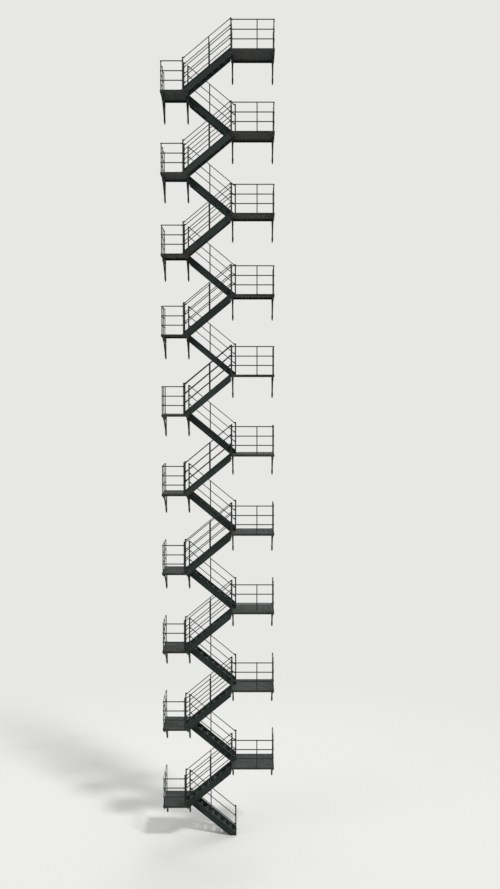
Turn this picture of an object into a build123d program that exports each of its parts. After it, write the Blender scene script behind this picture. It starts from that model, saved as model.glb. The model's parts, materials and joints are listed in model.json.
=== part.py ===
"""Dog-leg fire escape stair of ten storeys, hung on brackets from a plain wall.

Millimetres, +Z up, +X along the wall to the right, and the wall face is the plane Y = 0.
The stair stands in front of it, towards -Y. The origin is the middle of the wall plate
of the lowest platform's left bracket, on the plate's back face.

Each storey has a long platform on the right, in front of a window. The outer flight
goes down from it to the left, to a half-way landing, and the inner flight comes back
along the wall to the platform below.
"""
import os
from math import atan, cos, sin

from build123d import *

# Storeys and flights
storey_count = 10
storey_height = 3100.0
risers_per_flight = 8
tread_going = 235.0
flight_width = 750.0
well_width = 100.0

# Platforms and landings
platform_length = 1700.0
landing_length = 1050.0
wall_gap = 50.0
deck_edge_margin = 10.0
deck_thickness = 12.0
floor_strip_count = 7

# Frame under each deck: a channel at the front and back, a flat bar across each end
frame_depth = 75.0
frame_flange = 50.0
frame_web = 8.0
end_bar_thickness = 12.0

# Channel stringers
stringer_depth = 235.0
stringer_flange = 50.0
stringer_web = 8.0
stringer_flange_thickness = 10.0
stringer_above_nosing = 30.0
stringer_seat = 150.0

# Treads: a plate with a turned-down nosing
tread_thickness = 8.0
tread_overlap = 20.0
nosing_depth = 45.0

# Wall brackets
bracket_width = 50.0
bracket_plate_thickness = 12.0
bracket_arm_height = 50.0
bracket_strut_thickness = 45.0
bracket_strut_reach = 1150.0
bracket_strut_drop = 700.0
bracket_plate_tail = 80.0
bracket_inset = 60.0
bracket_front_setback = 20.0
bolt_hole_radius = 11.0
bolt_hole_below_arm = 70.0

# Railings: three flat rails lapped on the outer faces of bar posts
rail_heights = (370.0, 730.0, 1100.0)
rail_width = 38.0
rail_thickness = 12.0
post_width = 38.0
post_depth = 30.0
newel_bar = 50.0
platform_newel_height = 1160.0
landing_newel_height = 1240.0
platform_post_share = 0.6

# Foot of the lowest flight
foot_plate_thickness = 15.0
foot_plate_margin = 60.0
anchor_hole_radius = 9.0
anchor_inset = 60.0

# Worked out from the sizes above
flight_rise = storey_height / 2
riser_height = flight_rise / risers_per_flight
tread_count = risers_per_flight - 1
flight_run = tread_count * tread_going
flight_slope = riser_height / tread_going
flight_angle = atan(flight_slope)
deck_width = 2 * flight_width + well_width + 2 * deck_edge_margin
floor_strip_width = well_width + 2 * stringer_flange
tread_length = flight_width - 2 * stringer_flange
stringer_lift = stringer_above_nosing / cos(flight_angle)
stringer_plumb_depth = stringer_depth / cos(flight_angle)
flange_plumb_depth = stringer_flange_thickness / cos(flight_angle)

# Places across the stair, counted from the wall face
plate_face = -bracket_plate_thickness
deck_back = -wall_gap
deck_front = deck_back - deck_width
inner_lane_back = deck_back - deck_edge_margin
inner_lane_front = inner_lane_back - flight_width
outer_lane_back = inner_lane_front - well_width
outer_lane_front = outer_lane_back - flight_width
deck_middle = (deck_back + deck_front) / 2

# Heights below a deck's top face
frame_top = -deck_thickness
arm_top = frame_top - frame_depth
arm_bottom = arm_top - bracket_arm_height
plate_bottom = arm_bottom - bracket_strut_drop - bracket_plate_tail
plate_middle = (arm_top + plate_bottom) / 2

# Places along the wall and the height of the lowest decks
platform_left = -bracket_inset
platform_right = platform_left + platform_length
landing_right = platform_left - flight_run
landing_left = landing_right - landing_length
first_platform = -plate_middle
first_landing = first_platform - flight_rise
ground_level = first_platform - storey_height - foot_plate_thickness

every_storey = [(0, 0, level * storey_height) for level in range(storey_count)]
upper_storeys = every_storey[1:]


def edge_channels(left, right, top):
    """Front and back channels of one deck's frame, their flanges turned inwards."""
    with BuildPart() as channels:
        with BuildSketch(Plane.YZ.offset(left + end_bar_thickness)):
            with Locations((deck_middle, top - frame_depth / 2)):
                Rectangle(deck_width, frame_depth)
                Rectangle(deck_width - 2 * frame_web, frame_depth - 2 * frame_web,
                          mode=Mode.SUBTRACT)
                Rectangle(deck_width - 2 * frame_flange, frame_depth, mode=Mode.SUBTRACT)
        extrude(amount=right - left - 2 * end_bar_thickness)
    return channels.part


def end_bars(left, right, top):
    """Flat bars across both ends of one deck's frame."""
    with BuildPart() as bars:
        with BuildSketch(Plane.XY.offset(top - frame_depth)):
            with Locations(((left + right) / 2, deck_middle)):
                with GridLocations(right - left - end_bar_thickness, 0, 2, 1):
                    Rectangle(end_bar_thickness, deck_width)
        extrude(amount=frame_depth)
    return bars.part


def floor_strips(left, right, top):
    """Open floor: strips along the wall, the middle one under the newels of both lanes."""
    pitch = (deck_width - floor_strip_width) / (floor_strip_count - 1)
    with BuildPart() as strips:
        with BuildSketch(Plane.XY.offset(top - deck_thickness)):
            with Locations(((left + right) / 2, deck_middle)):
                with GridLocations(0, pitch, 1, floor_strip_count):
                    Rectangle(right - left, floor_strip_width)
        extrude(amount=deck_thickness)
    return strips.part


def wall_plate(middle, deck_top, bolted):
    """Plate of one bracket on the wall, with a bolt hole under the arm if it is bolted."""
    with BuildPart() as plate:
        with BuildSketch(Plane.XZ):
            with Locations((middle, deck_top + plate_middle)):
                Rectangle(bracket_width, arm_top - plate_bottom)
            if bolted:
                with Locations((middle, deck_top + arm_bottom - bolt_hole_below_arm)):
                    Circle(bolt_hole_radius, mode=Mode.SUBTRACT)
        extrude(amount=bracket_plate_thickness)
    return plate.part


def bracket_arm(middle, deck_top):
    """Level arm under a deck, from the wall plate to just behind the front edge."""
    arm_end = deck_front + bracket_front_setback
    with BuildPart() as arm:
        with BuildSketch(Plane.YZ.offset(middle - bracket_width / 2)):
            with Locations(((plate_face + arm_end) / 2, deck_top + (arm_top + arm_bottom) / 2)):
                Rectangle(plate_face - arm_end, bracket_arm_height)
        extrude(amount=bracket_width)
    return arm.part


def bracket_strut(middle, deck_top):
    """Raking strut from the foot of the wall plate up to the underside of the arm."""
    strut_angle = atan(bracket_strut_drop / (bracket_strut_reach + plate_face))
    inner_reach = bracket_strut_reach - bracket_strut_thickness / sin(strut_angle)
    inner_drop = bracket_strut_drop - bracket_strut_thickness / cos(strut_angle)
    head = deck_top + arm_bottom
    with BuildPart() as strut:
        with BuildSketch(Plane.YZ.offset(middle - bracket_width / 2)):
            with BuildLine():
                Polyline(
                    (-bracket_strut_reach, head),
                    (-inner_reach, head),
                    (plate_face, head - inner_drop),
                    (plate_face, head - bracket_strut_drop),
                    close=True,
                )
            make_face()
        extrude(amount=bracket_width)
    return strut.part


def side_outline(top_edge, top, direction, seated):
    """Points of a stringer's side, from its upper edge down in the given direction."""
    upper_top = top + stringer_lift
    upper_bottom = upper_top - stringer_plumb_depth
    foot_end = flight_run + stringer_seat
    foot_level = top - flight_rise
    notch_bottom = upper_bottom - flight_slope * flight_run
    level_start = (upper_bottom - foot_level) / flight_slope
    points = [
        (0, upper_top),
        (foot_end, upper_top - flight_slope * foot_end),
        (foot_end, foot_level),
    ]
    if seated:
        points += [(flight_run, foot_level), (flight_run, notch_bottom)]
    else:
        points += [(level_start, foot_level)]
    points += [(0, upper_bottom)]
    return [(top_edge + direction * along, height) for along, height in points]


def channel_stringer(top_edge, top, direction, face, flanges, seated=True):
    """Channel stringer with a plumb top end and a foot cut to seat on a deck.

    face is the Y of the web's flat face, and flanges is +1 or -1, the way they point.
    """
    back = face if flanges < 0 else face + stringer_flange
    pocket_back = face - stringer_web if flanges < 0 else back
    pocket_depth = stringer_flange - stringer_web
    outline = side_outline(top_edge, top, direction, seated)
    pocket_top = top + stringer_lift - flange_plumb_depth
    pocket_bottom = top + stringer_lift - stringer_plumb_depth + flange_plumb_depth
    pocket_end = flight_run + stringer_seat
    pocket_fall = flight_slope * pocket_end
    far_edge = top_edge + direction * pocket_end
    with BuildPart() as stringer:
        with BuildSketch(Plane.XZ.offset(-back)):
            with BuildLine():
                Polyline(*outline, close=True)
            make_face()
        extrude(amount=stringer_flange)
        with BuildSketch(Plane.XZ.offset(-pocket_back)):
            with BuildLine():
                Polyline(
                    (top_edge, pocket_top),
                    (far_edge, pocket_top - pocket_fall),
                    (far_edge, pocket_bottom - pocket_fall),
                    (top_edge, pocket_bottom),
                    close=True,
                )
            make_face()
        extrude(amount=pocket_depth, mode=Mode.SUBTRACT)
    return stringer.part


def tread(nosing, top, direction, back):
    """One tread between two stringers, with its nosing turned down."""
    heel = nosing - direction * (tread_going + tread_overlap)
    lip = nosing - direction * tread_thickness
    with BuildPart() as step:
        with BuildSketch(Plane.XZ.offset(-back)):
            with BuildLine():
                Polyline(
                    (nosing, top),
                    (nosing, top - nosing_depth),
                    (lip, top - nosing_depth),
                    (lip, top - tread_thickness),
                    (heel, top - tread_thickness),
                    (heel, top),
                    close=True,
                )
            make_face()
        extrude(amount=tread_length)
    return step.part


def flight_of_treads(top_edge, top, direction, lane_back):
    """All the treads of one flight."""
    with BuildPart() as steps:
        for number in range(1, tread_count + 1):
            nosing = top_edge + direction * number * tread_going
            height = top - number * riser_height
            add(tread(nosing, height, direction, lane_back - stringer_flange))
    return steps.part


def rails(plane, start, end, foot, slope=0.0):
    """Three flat bars, one above another, from start to end of a run.

    foot is the height at start of the line that the rails follow.
    """
    with BuildPart() as bars:
        with BuildSketch(plane):
            for height in rail_heights:
                start_top = foot + height
                end_top = start_top + slope * (end - start)
                with BuildLine():
                    Polyline(
                        (start, start_top - rail_width),
                        (end, end_top - rail_width),
                        (end, end_top),
                        (start, start_top),
                        close=True,
                    )
                make_face()
        extrude(amount=rail_thickness)
    return bars.part


def posts(plane, middles, foot, start=0.0, slope=0.0):
    """Upright bars up to the top rail, their feet cut to the line they stand on."""
    with BuildPart() as bars:
        with BuildSketch(plane):
            for middle in middles:
                left = middle - post_width / 2
                right = middle + post_width / 2
                left_foot = foot + slope * (left - start)
                right_foot = foot + slope * (right - start)
                with BuildLine():
                    Polyline(
                        (left, left_foot),
                        (right, right_foot),
                        (right, right_foot + rail_heights[-1]),
                        (left, left_foot + rail_heights[-1]),
                        close=True,
                    )
                make_face()
        extrude(amount=post_depth)
    return bars.part


def newel(left, front, deck_top, height):
    """Square post that stands on a deck, placed by its left front corner."""
    with BuildPart() as post:
        with BuildSketch(Plane.XY.offset(deck_top)):
            with Locations((left + newel_bar / 2, front + newel_bar / 2)):
                Rectangle(newel_bar, newel_bar)
        extrude(amount=height)
    return post.part


# Platforms
platform_brackets = (platform_left + bracket_inset, platform_right - bracket_inset)

with BuildPart() as platform_edge_channels:
    with Locations(*every_storey):
        add(edge_channels(platform_left, platform_right, first_platform + frame_top))

with BuildPart() as platform_end_bars:
    with Locations(*every_storey):
        add(end_bars(platform_left, platform_right, first_platform + frame_top))

with BuildPart() as platform_decks:
    with Locations(*every_storey):
        add(floor_strips(platform_left, platform_right, first_platform))

with BuildPart() as platform_wall_plates:
    with Locations(*every_storey):
        for middle in platform_brackets:
            add(wall_plate(middle, first_platform, bolted=True))

with BuildPart() as platform_bracket_arms:
    with Locations(*every_storey):
        for middle in platform_brackets:
            add(bracket_arm(middle, first_platform))

with BuildPart() as platform_bracket_struts:
    with Locations(*every_storey):
        for middle in platform_brackets:
            add(bracket_strut(middle, first_platform))

# Half-way landings
landing_brackets = (landing_left + bracket_inset, landing_right - bracket_inset)

with BuildPart() as landing_edge_channels:
    with Locations(*every_storey):
        add(edge_channels(landing_left, landing_right, first_landing + frame_top))

with BuildPart() as landing_end_bars:
    with Locations(*every_storey):
        add(end_bars(landing_left, landing_right, first_landing + frame_top))

with BuildPart() as landing_decks:
    with Locations(*every_storey):
        add(floor_strips(landing_left, landing_right, first_landing))

with BuildPart() as landing_wall_plates:
    with Locations(*every_storey):
        for middle in landing_brackets:
            add(wall_plate(middle, first_landing, bolted=False))

with BuildPart() as landing_bracket_arms:
    with Locations(*every_storey):
        for middle in landing_brackets:
            add(bracket_arm(middle, first_landing))

with BuildPart() as landing_bracket_struts:
    with Locations(*every_storey):
        for middle in landing_brackets:
            add(bracket_strut(middle, first_landing))

# Outer flights, down to the left
outer_front_face = outer_lane_front + stringer_flange
outer_well_face = outer_lane_back - stringer_flange

with BuildPart() as outer_flight_front_stringers:
    with Locations(*every_storey):
        add(channel_stringer(platform_left, first_platform, -1, outer_front_face, -1))

with BuildPart() as outer_flight_well_stringers:
    with Locations(*every_storey):
        add(channel_stringer(platform_left, first_platform, -1, outer_well_face, 1))

with BuildPart() as outer_flight_treads:
    with Locations(*every_storey):
        add(flight_of_treads(platform_left, first_platform, -1, outer_lane_back))

# Inner flights, down to the right, the lowest one to the ground
inner_well_face = inner_lane_front + stringer_flange
inner_wall_face = inner_lane_back - stringer_flange

with BuildPart() as inner_flight_well_stringers:
    with Locations(*upper_storeys):
        add(channel_stringer(landing_right, first_landing, 1, inner_well_face, -1))
    add(channel_stringer(landing_right, first_landing, 1, inner_well_face, -1, seated=False))

with BuildPart() as inner_flight_wall_stringers:
    with Locations(*upper_storeys):
        add(channel_stringer(landing_right, first_landing, 1, inner_wall_face, 1))
    add(channel_stringer(landing_right, first_landing, 1, inner_wall_face, 1, seated=False))

with BuildPart() as inner_flight_treads:
    with Locations(*every_storey):
        add(flight_of_treads(landing_right, first_landing, 1, inner_lane_back))

# Newel posts at the heads and feet of the flights
landing_newel_left = landing_right - stringer_seat - newel_bar
foot_newel_left = platform_left + stringer_seat
lowest_floor = first_platform - storey_height

with BuildPart() as platform_newel_posts:
    with Locations(*every_storey):
        for newel_front in (outer_lane_front, outer_well_face):
            add(newel(platform_left, newel_front, first_platform, platform_newel_height))

with BuildPart() as landing_newel_posts:
    with Locations(*every_storey):
        for newel_front in (outer_lane_front, outer_well_face):
            add(newel(landing_newel_left, newel_front, first_landing, landing_newel_height))
        head_left = landing_right - newel_bar
        add(newel(head_left, inner_lane_front, first_landing, platform_newel_height))

with BuildPart() as inner_flight_foot_newels:
    with Locations(*every_storey):
        add(newel(foot_newel_left, inner_lane_front, lowest_floor, landing_newel_height))

# Level railings along the front of the platforms and landings
front_rail_plane = Plane.XZ.offset(-(outer_lane_front + rail_thickness))
front_post_plane = Plane.XZ.offset(-(outer_lane_front + rail_thickness + post_depth))
platform_rail_end = platform_right - deck_edge_margin
landing_rail_start = landing_left + deck_edge_margin
corner_setback = rail_thickness + post_width / 2

with BuildPart() as platform_front_rails:
    with Locations(*every_storey):
        rail_start = platform_left + newel_bar
        add(rails(front_rail_plane, rail_start, platform_rail_end, first_platform))

with BuildPart() as platform_front_posts:
    with Locations(*every_storey):
        middle_post = platform_left + platform_post_share * platform_length
        corner_post = platform_rail_end - corner_setback
        add(posts(front_post_plane, (middle_post, corner_post), first_platform))

with BuildPart() as landing_front_rails:
    with Locations(*every_storey):
        add(rails(front_rail_plane, landing_rail_start, landing_newel_left, first_landing))

with BuildPart() as landing_corner_posts:
    with Locations(*every_storey):
        add(posts(front_post_plane, (landing_rail_start + corner_setback,), first_landing))

# Level railings at the ends, from the front rail back to the wall
end_rail_front = outer_lane_front + rail_thickness
end_rail_back = inner_lane_back
end_post_middles = ((end_rail_front + end_rail_back) / 2, end_rail_back - post_width / 2)

with BuildPart() as platform_end_rails:
    with Locations(*every_storey):
        end_plane = Plane.YZ.offset(platform_rail_end - rail_thickness)
        add(rails(end_plane, end_rail_front, end_rail_back, first_platform))

with BuildPart() as platform_end_posts:
    with Locations(*every_storey):
        end_plane = Plane.YZ.offset(platform_rail_end - rail_thickness - post_depth)
        add(posts(end_plane, end_post_middles, first_platform))

with BuildPart() as landing_end_rails:
    with Locations(*every_storey):
        end_plane = Plane.YZ.offset(landing_rail_start)
        add(rails(end_plane, end_rail_front, end_rail_back, first_landing))

with BuildPart() as landing_end_posts:
    with Locations(*every_storey):
        end_plane = Plane.YZ.offset(landing_rail_start + rail_thickness)
        add(posts(end_plane, end_post_middles, first_landing))

# Guard across the head of the stair, where no flight comes down to the top platform
top_platform = first_platform + (storey_count - 1) * storey_height
guard_left = platform_left + deck_edge_margin
guard_post_middles = (
    inner_lane_front + post_width / 2,
    inner_lane_back - post_width / 2,
)

with BuildPart() as top_guard_rails:
    add(rails(Plane.YZ.offset(guard_left), inner_lane_front, inner_lane_back, top_platform))

with BuildPart() as top_guard_posts:
    guard_plane = Plane.YZ.offset(guard_left + rail_thickness)
    add(posts(guard_plane, guard_post_middles, top_platform))

# Raking railings, from the newel at the head to the newel at the foot
outer_rail_start = landing_right - stringer_seat
outer_foot = first_platform + stringer_lift
outer_foot_at_start = outer_foot - flight_slope * (flight_run + stringer_seat)
outer_post = platform_left - flight_run / 2
outer_well_rail_plane = Plane.XZ.offset(-outer_lane_back)
outer_well_post_plane = Plane.XZ.offset(-(outer_lane_back - rail_thickness))
inner_foot = first_landing + stringer_lift
inner_post = landing_right + flight_run / 2
inner_rail_plane = Plane.XZ.offset(-(inner_lane_front + rail_thickness))
inner_post_plane = Plane.XZ.offset(-(inner_lane_front + rail_thickness + post_depth))

with BuildPart() as outer_flight_front_rails:
    with Locations(*every_storey):
        add(rails(front_rail_plane, outer_rail_start, platform_left, outer_foot_at_start,
                  flight_slope))

with BuildPart() as outer_flight_front_posts:
    with Locations(*every_storey):
        add(posts(front_post_plane, (outer_post,), outer_foot, platform_left, flight_slope))

with BuildPart() as outer_flight_well_rails:
    with Locations(*every_storey):
        add(rails(outer_well_rail_plane, outer_rail_start, platform_left, outer_foot_at_start,
                  flight_slope))

with BuildPart() as outer_flight_well_posts:
    with Locations(*every_storey):
        add(posts(outer_well_post_plane, (outer_post,), outer_foot, platform_left, flight_slope))

with BuildPart() as inner_flight_well_rails:
    with Locations(*every_storey):
        add(rails(inner_rail_plane, landing_right, foot_newel_left, inner_foot, -flight_slope))

with BuildPart() as inner_flight_well_posts:
    with Locations(*every_storey):
        add(posts(inner_post_plane, (inner_post,), inner_foot, landing_right, -flight_slope))

# Foot plate of the lowest flight
foot_start = platform_left - foot_plate_margin
foot_end = foot_newel_left + newel_bar
foot_length = foot_end - foot_start
with BuildPart() as foot_plate:
    with BuildSketch(Plane.XY.offset(ground_level)):
        with Locations(((foot_start + foot_end) / 2, inner_lane_back - flight_width / 2)):
            Rectangle(foot_length, flight_width)
            with GridLocations(0, tread_length - 2 * anchor_inset, 1, 2):
                Circle(anchor_hole_radius, mode=Mode.SUBTRACT)
    extrude(amount=foot_plate_thickness)

nodes = {
    "platform_edge_channels": platform_edge_channels,
    "platform_end_bars": platform_end_bars,
    "platform_decks": platform_decks,
    "platform_wall_plates": platform_wall_plates,
    "platform_bracket_arms": platform_bracket_arms,
    "platform_bracket_struts": platform_bracket_struts,
    "landing_edge_channels": landing_edge_channels,
    "landing_end_bars": landing_end_bars,
    "landing_decks": landing_decks,
    "landing_wall_plates": landing_wall_plates,
    "landing_bracket_arms": landing_bracket_arms,
    "landing_bracket_struts": landing_bracket_struts,
    "outer_flight_front_stringers": outer_flight_front_stringers,
    "outer_flight_well_stringers": outer_flight_well_stringers,
    "outer_flight_treads": outer_flight_treads,
    "inner_flight_well_stringers": inner_flight_well_stringers,
    "inner_flight_wall_stringers": inner_flight_wall_stringers,
    "inner_flight_treads": inner_flight_treads,
    "platform_newel_posts": platform_newel_posts,
    "landing_newel_posts": landing_newel_posts,
    "inner_flight_foot_newels": inner_flight_foot_newels,
    "platform_front_rails": platform_front_rails,
    "platform_front_posts": platform_front_posts,
    "platform_end_rails": platform_end_rails,
    "platform_end_posts": platform_end_posts,
    "landing_front_rails": landing_front_rails,
    "landing_corner_posts": landing_corner_posts,
    "landing_end_rails": landing_end_rails,
    "landing_end_posts": landing_end_posts,
    "top_guard_rails": top_guard_rails,
    "top_guard_posts": top_guard_posts,
    "outer_flight_front_rails": outer_flight_front_rails,
    "outer_flight_front_posts": outer_flight_front_posts,
    "outer_flight_well_rails": outer_flight_well_rails,
    "outer_flight_well_posts": outer_flight_well_posts,
    "inner_flight_well_rails": inner_flight_well_rails,
    "inner_flight_well_posts": inner_flight_well_posts,
    "foot_plate": foot_plate,
}

os.makedirs("parts", exist_ok=True)
for name, node in nodes.items():
    node.part.label = name
    export_step(node.part, f"parts/{name}.step")
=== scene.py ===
"""Looks of a ten-storey fire escape stair: worn paint, bar floors, open treads, fastenings.

Metres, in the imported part's own frame: +Z up, +X to the right along the flights. The wall
plates' back faces are the plane Y = 0, and the stair stands in front of it, towards -Y.
"""
import json
import logging
import math
from dataclasses import dataclass
from enum import Enum
from typing import Any, Callable, Iterable, Optional, Sequence, Union

import bpy
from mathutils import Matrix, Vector

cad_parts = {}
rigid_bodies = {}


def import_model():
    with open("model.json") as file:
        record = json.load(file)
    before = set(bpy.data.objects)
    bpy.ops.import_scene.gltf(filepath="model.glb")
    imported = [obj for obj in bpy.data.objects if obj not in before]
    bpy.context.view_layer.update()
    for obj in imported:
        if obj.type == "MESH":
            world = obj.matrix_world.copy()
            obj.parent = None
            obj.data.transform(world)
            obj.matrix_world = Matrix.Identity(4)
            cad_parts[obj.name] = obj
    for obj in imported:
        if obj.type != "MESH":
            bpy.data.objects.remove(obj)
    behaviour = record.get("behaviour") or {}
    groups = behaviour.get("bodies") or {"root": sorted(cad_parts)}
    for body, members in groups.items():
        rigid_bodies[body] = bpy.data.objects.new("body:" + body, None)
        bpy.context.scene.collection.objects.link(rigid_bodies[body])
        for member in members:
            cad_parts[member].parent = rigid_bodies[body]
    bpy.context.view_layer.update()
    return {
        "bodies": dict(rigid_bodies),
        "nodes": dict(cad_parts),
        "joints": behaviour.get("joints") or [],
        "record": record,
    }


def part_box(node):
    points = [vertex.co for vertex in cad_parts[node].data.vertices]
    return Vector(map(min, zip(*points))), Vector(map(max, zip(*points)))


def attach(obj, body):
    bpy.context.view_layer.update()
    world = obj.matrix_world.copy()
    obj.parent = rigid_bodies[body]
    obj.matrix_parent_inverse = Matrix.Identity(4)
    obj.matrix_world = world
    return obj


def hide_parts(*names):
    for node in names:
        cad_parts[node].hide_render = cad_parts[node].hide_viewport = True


LOG = logging.getLogger("fire_escape")
BODY = "root"

# How closely an edge runs along an axis and a face looks in a direction to count as doing so
# (1 is exactly), and how near a corner is to a place, in metres, to count as on it.
EDGE_ALONG = 0.999
FACE_TOWARDS = 0.99
NEAR = 1e-4

Colour = tuple[float, float, float]
Point = tuple[float, float, float]
Wanted = Callable[[Any, bpy.types.Mesh], bool]


class Slot(Enum):
    """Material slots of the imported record."""

    FRAME = "frame_paint"
    DECK = "deck_paint"
    BRACKET = "bracket_paint"
    STRINGER = "stringer_paint"
    TREAD = "tread_paint"
    RAIL = "rail_paint"


class Axis(Enum):
    """Axes of the frame, with their numbers."""

    X = 0
    Y = 1
    Z = 2


class Element(Enum):
    """What is picked of a mesh."""

    FACE = "face"
    EDGE = "edge"


class Deck(Enum):
    """The two kinds of deck, with the word that starts their nodes' names."""

    PLATFORM = "platform"
    LANDING = "landing"


class Lane(Enum):
    """The two lanes of flights, with the word that starts their nodes' names."""

    OUTER = "outer"
    INNER = "inner"


class Way(Enum):
    """The way that a fastening or a railing's outer face looks.

    Each has the turn that makes an upright fastening look that way.
    """

    UP = (0.0, 0.0, 0.0)
    FRONT = (math.pi / 2, 0.0, 0.0)
    BACK = (-math.pi / 2, 0.0, 0.0)
    LEFT = (0.0, -math.pi / 2, 0.0)
    RIGHT = (0.0, math.pi / 2, 0.0)


@dataclass(frozen=True)
class StairPlan:
    """Levels, lanes and edges of the stair, and the few sizes that its pieces share.

    The levels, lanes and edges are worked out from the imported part. The rail drops say how
    far each rail is below the top one. The seat is how far a flight's foot runs over the
    edge of the deck that it stands on.
    """

    platform_low: Vector
    platform_high: Vector
    landing_low: Vector
    landing_high: Vector
    storeys: int
    storey_height: float
    lane_width: float
    riser_count: int = 8
    rail_drops: tuple[float, float, float] = (0.0, 0.37, 0.73)
    newel_bar: float = 0.05
    seat: float = 0.15

    @classmethod
    def from_frame(cls, record: dict[str, Any]) -> "StairPlan":
        """Read the storeys from the record's walkways and the edges from the floors.

        Args:
            record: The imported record.

        Returns:
            The plan of this stair.
        """
        platform_low, platform_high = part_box("platform_decks")
        landing_low, landing_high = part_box("landing_decks")
        walkways = record["physics"]["openings"]
        levels = sorted(w["box_m"][0][2] for w in walkways if w["name"].startswith("platform"))
        lane_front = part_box("outer_flight_front_stringers")[0].y
        lane_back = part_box("outer_flight_well_stringers")[1].y
        return cls(platform_low, platform_high, landing_low, landing_high,
                   len(levels), levels[1] - levels[0], lane_back - lane_front)

    @property
    def first_platform(self) -> float:
        """Height of the lowest platform's walking face."""
        return self.platform_high.z - self.storey_height * (self.storeys - 1)

    @property
    def first_landing(self) -> float:
        """Height of the lowest landing's walking face."""
        return self.landing_high.z - self.storey_height * (self.storeys - 1)

    @property
    def floor_thickness(self) -> float:
        """Thickness of a floor's strips."""
        return self.first_platform - self.platform_low.z

    @property
    def riser(self) -> float:
        """Height of one riser."""
        return self.storey_height / 2 / self.riser_count

    @property
    def going(self) -> float:
        """Distance from one nosing to the next along the flight."""
        return (self.platform_low.x - self.landing_high.x) / (self.riser_count - 1)

    @property
    def slope(self) -> float:
        """Rise of a flight over its run."""
        return self.riser / self.going


def everything(item: Any, mesh: bpy.types.Mesh) -> bool:
    """Test that wants every face or edge."""
    return True


def along(axis: Axis) -> Wanted:
    """Test for the edges that run along one axis.

    Args:
        axis: The axis.

    Returns:
        The test of one edge, with the mesh.
    """

    def wanted(edge: Any, mesh: bpy.types.Mesh) -> bool:
        """Whether the edge's two ends differ along the axis alone.

        Args:
            edge: One edge.
            mesh: Its mesh.

        Returns:
            True for an edge along the axis.
        """
        start, end = (mesh.vertices[vertex].co for vertex in edge.vertices)
        gap = end - start
        return abs(gap[axis.value]) > EDGE_ALONG * gap.length

    return wanted


def facing(direction: Point, where: Optional[Callable[[Vector], bool]] = None) -> Wanted:
    """Test for the faces that look in one direction.

    Args:
        direction: The direction, of length 1.
        where: Test of the face's middle, if only some of these faces are wanted.

    Returns:
        The test of one face, with the mesh.
    """
    aim = Vector(direction)

    def wanted(face: Any, mesh: bpy.types.Mesh) -> bool:
        """Whether the face looks that way, with its middle where it is wanted."""
        return face.normal.dot(aim) > FACE_TOWARDS and (where is None or where(face.center))

    return wanted


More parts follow.
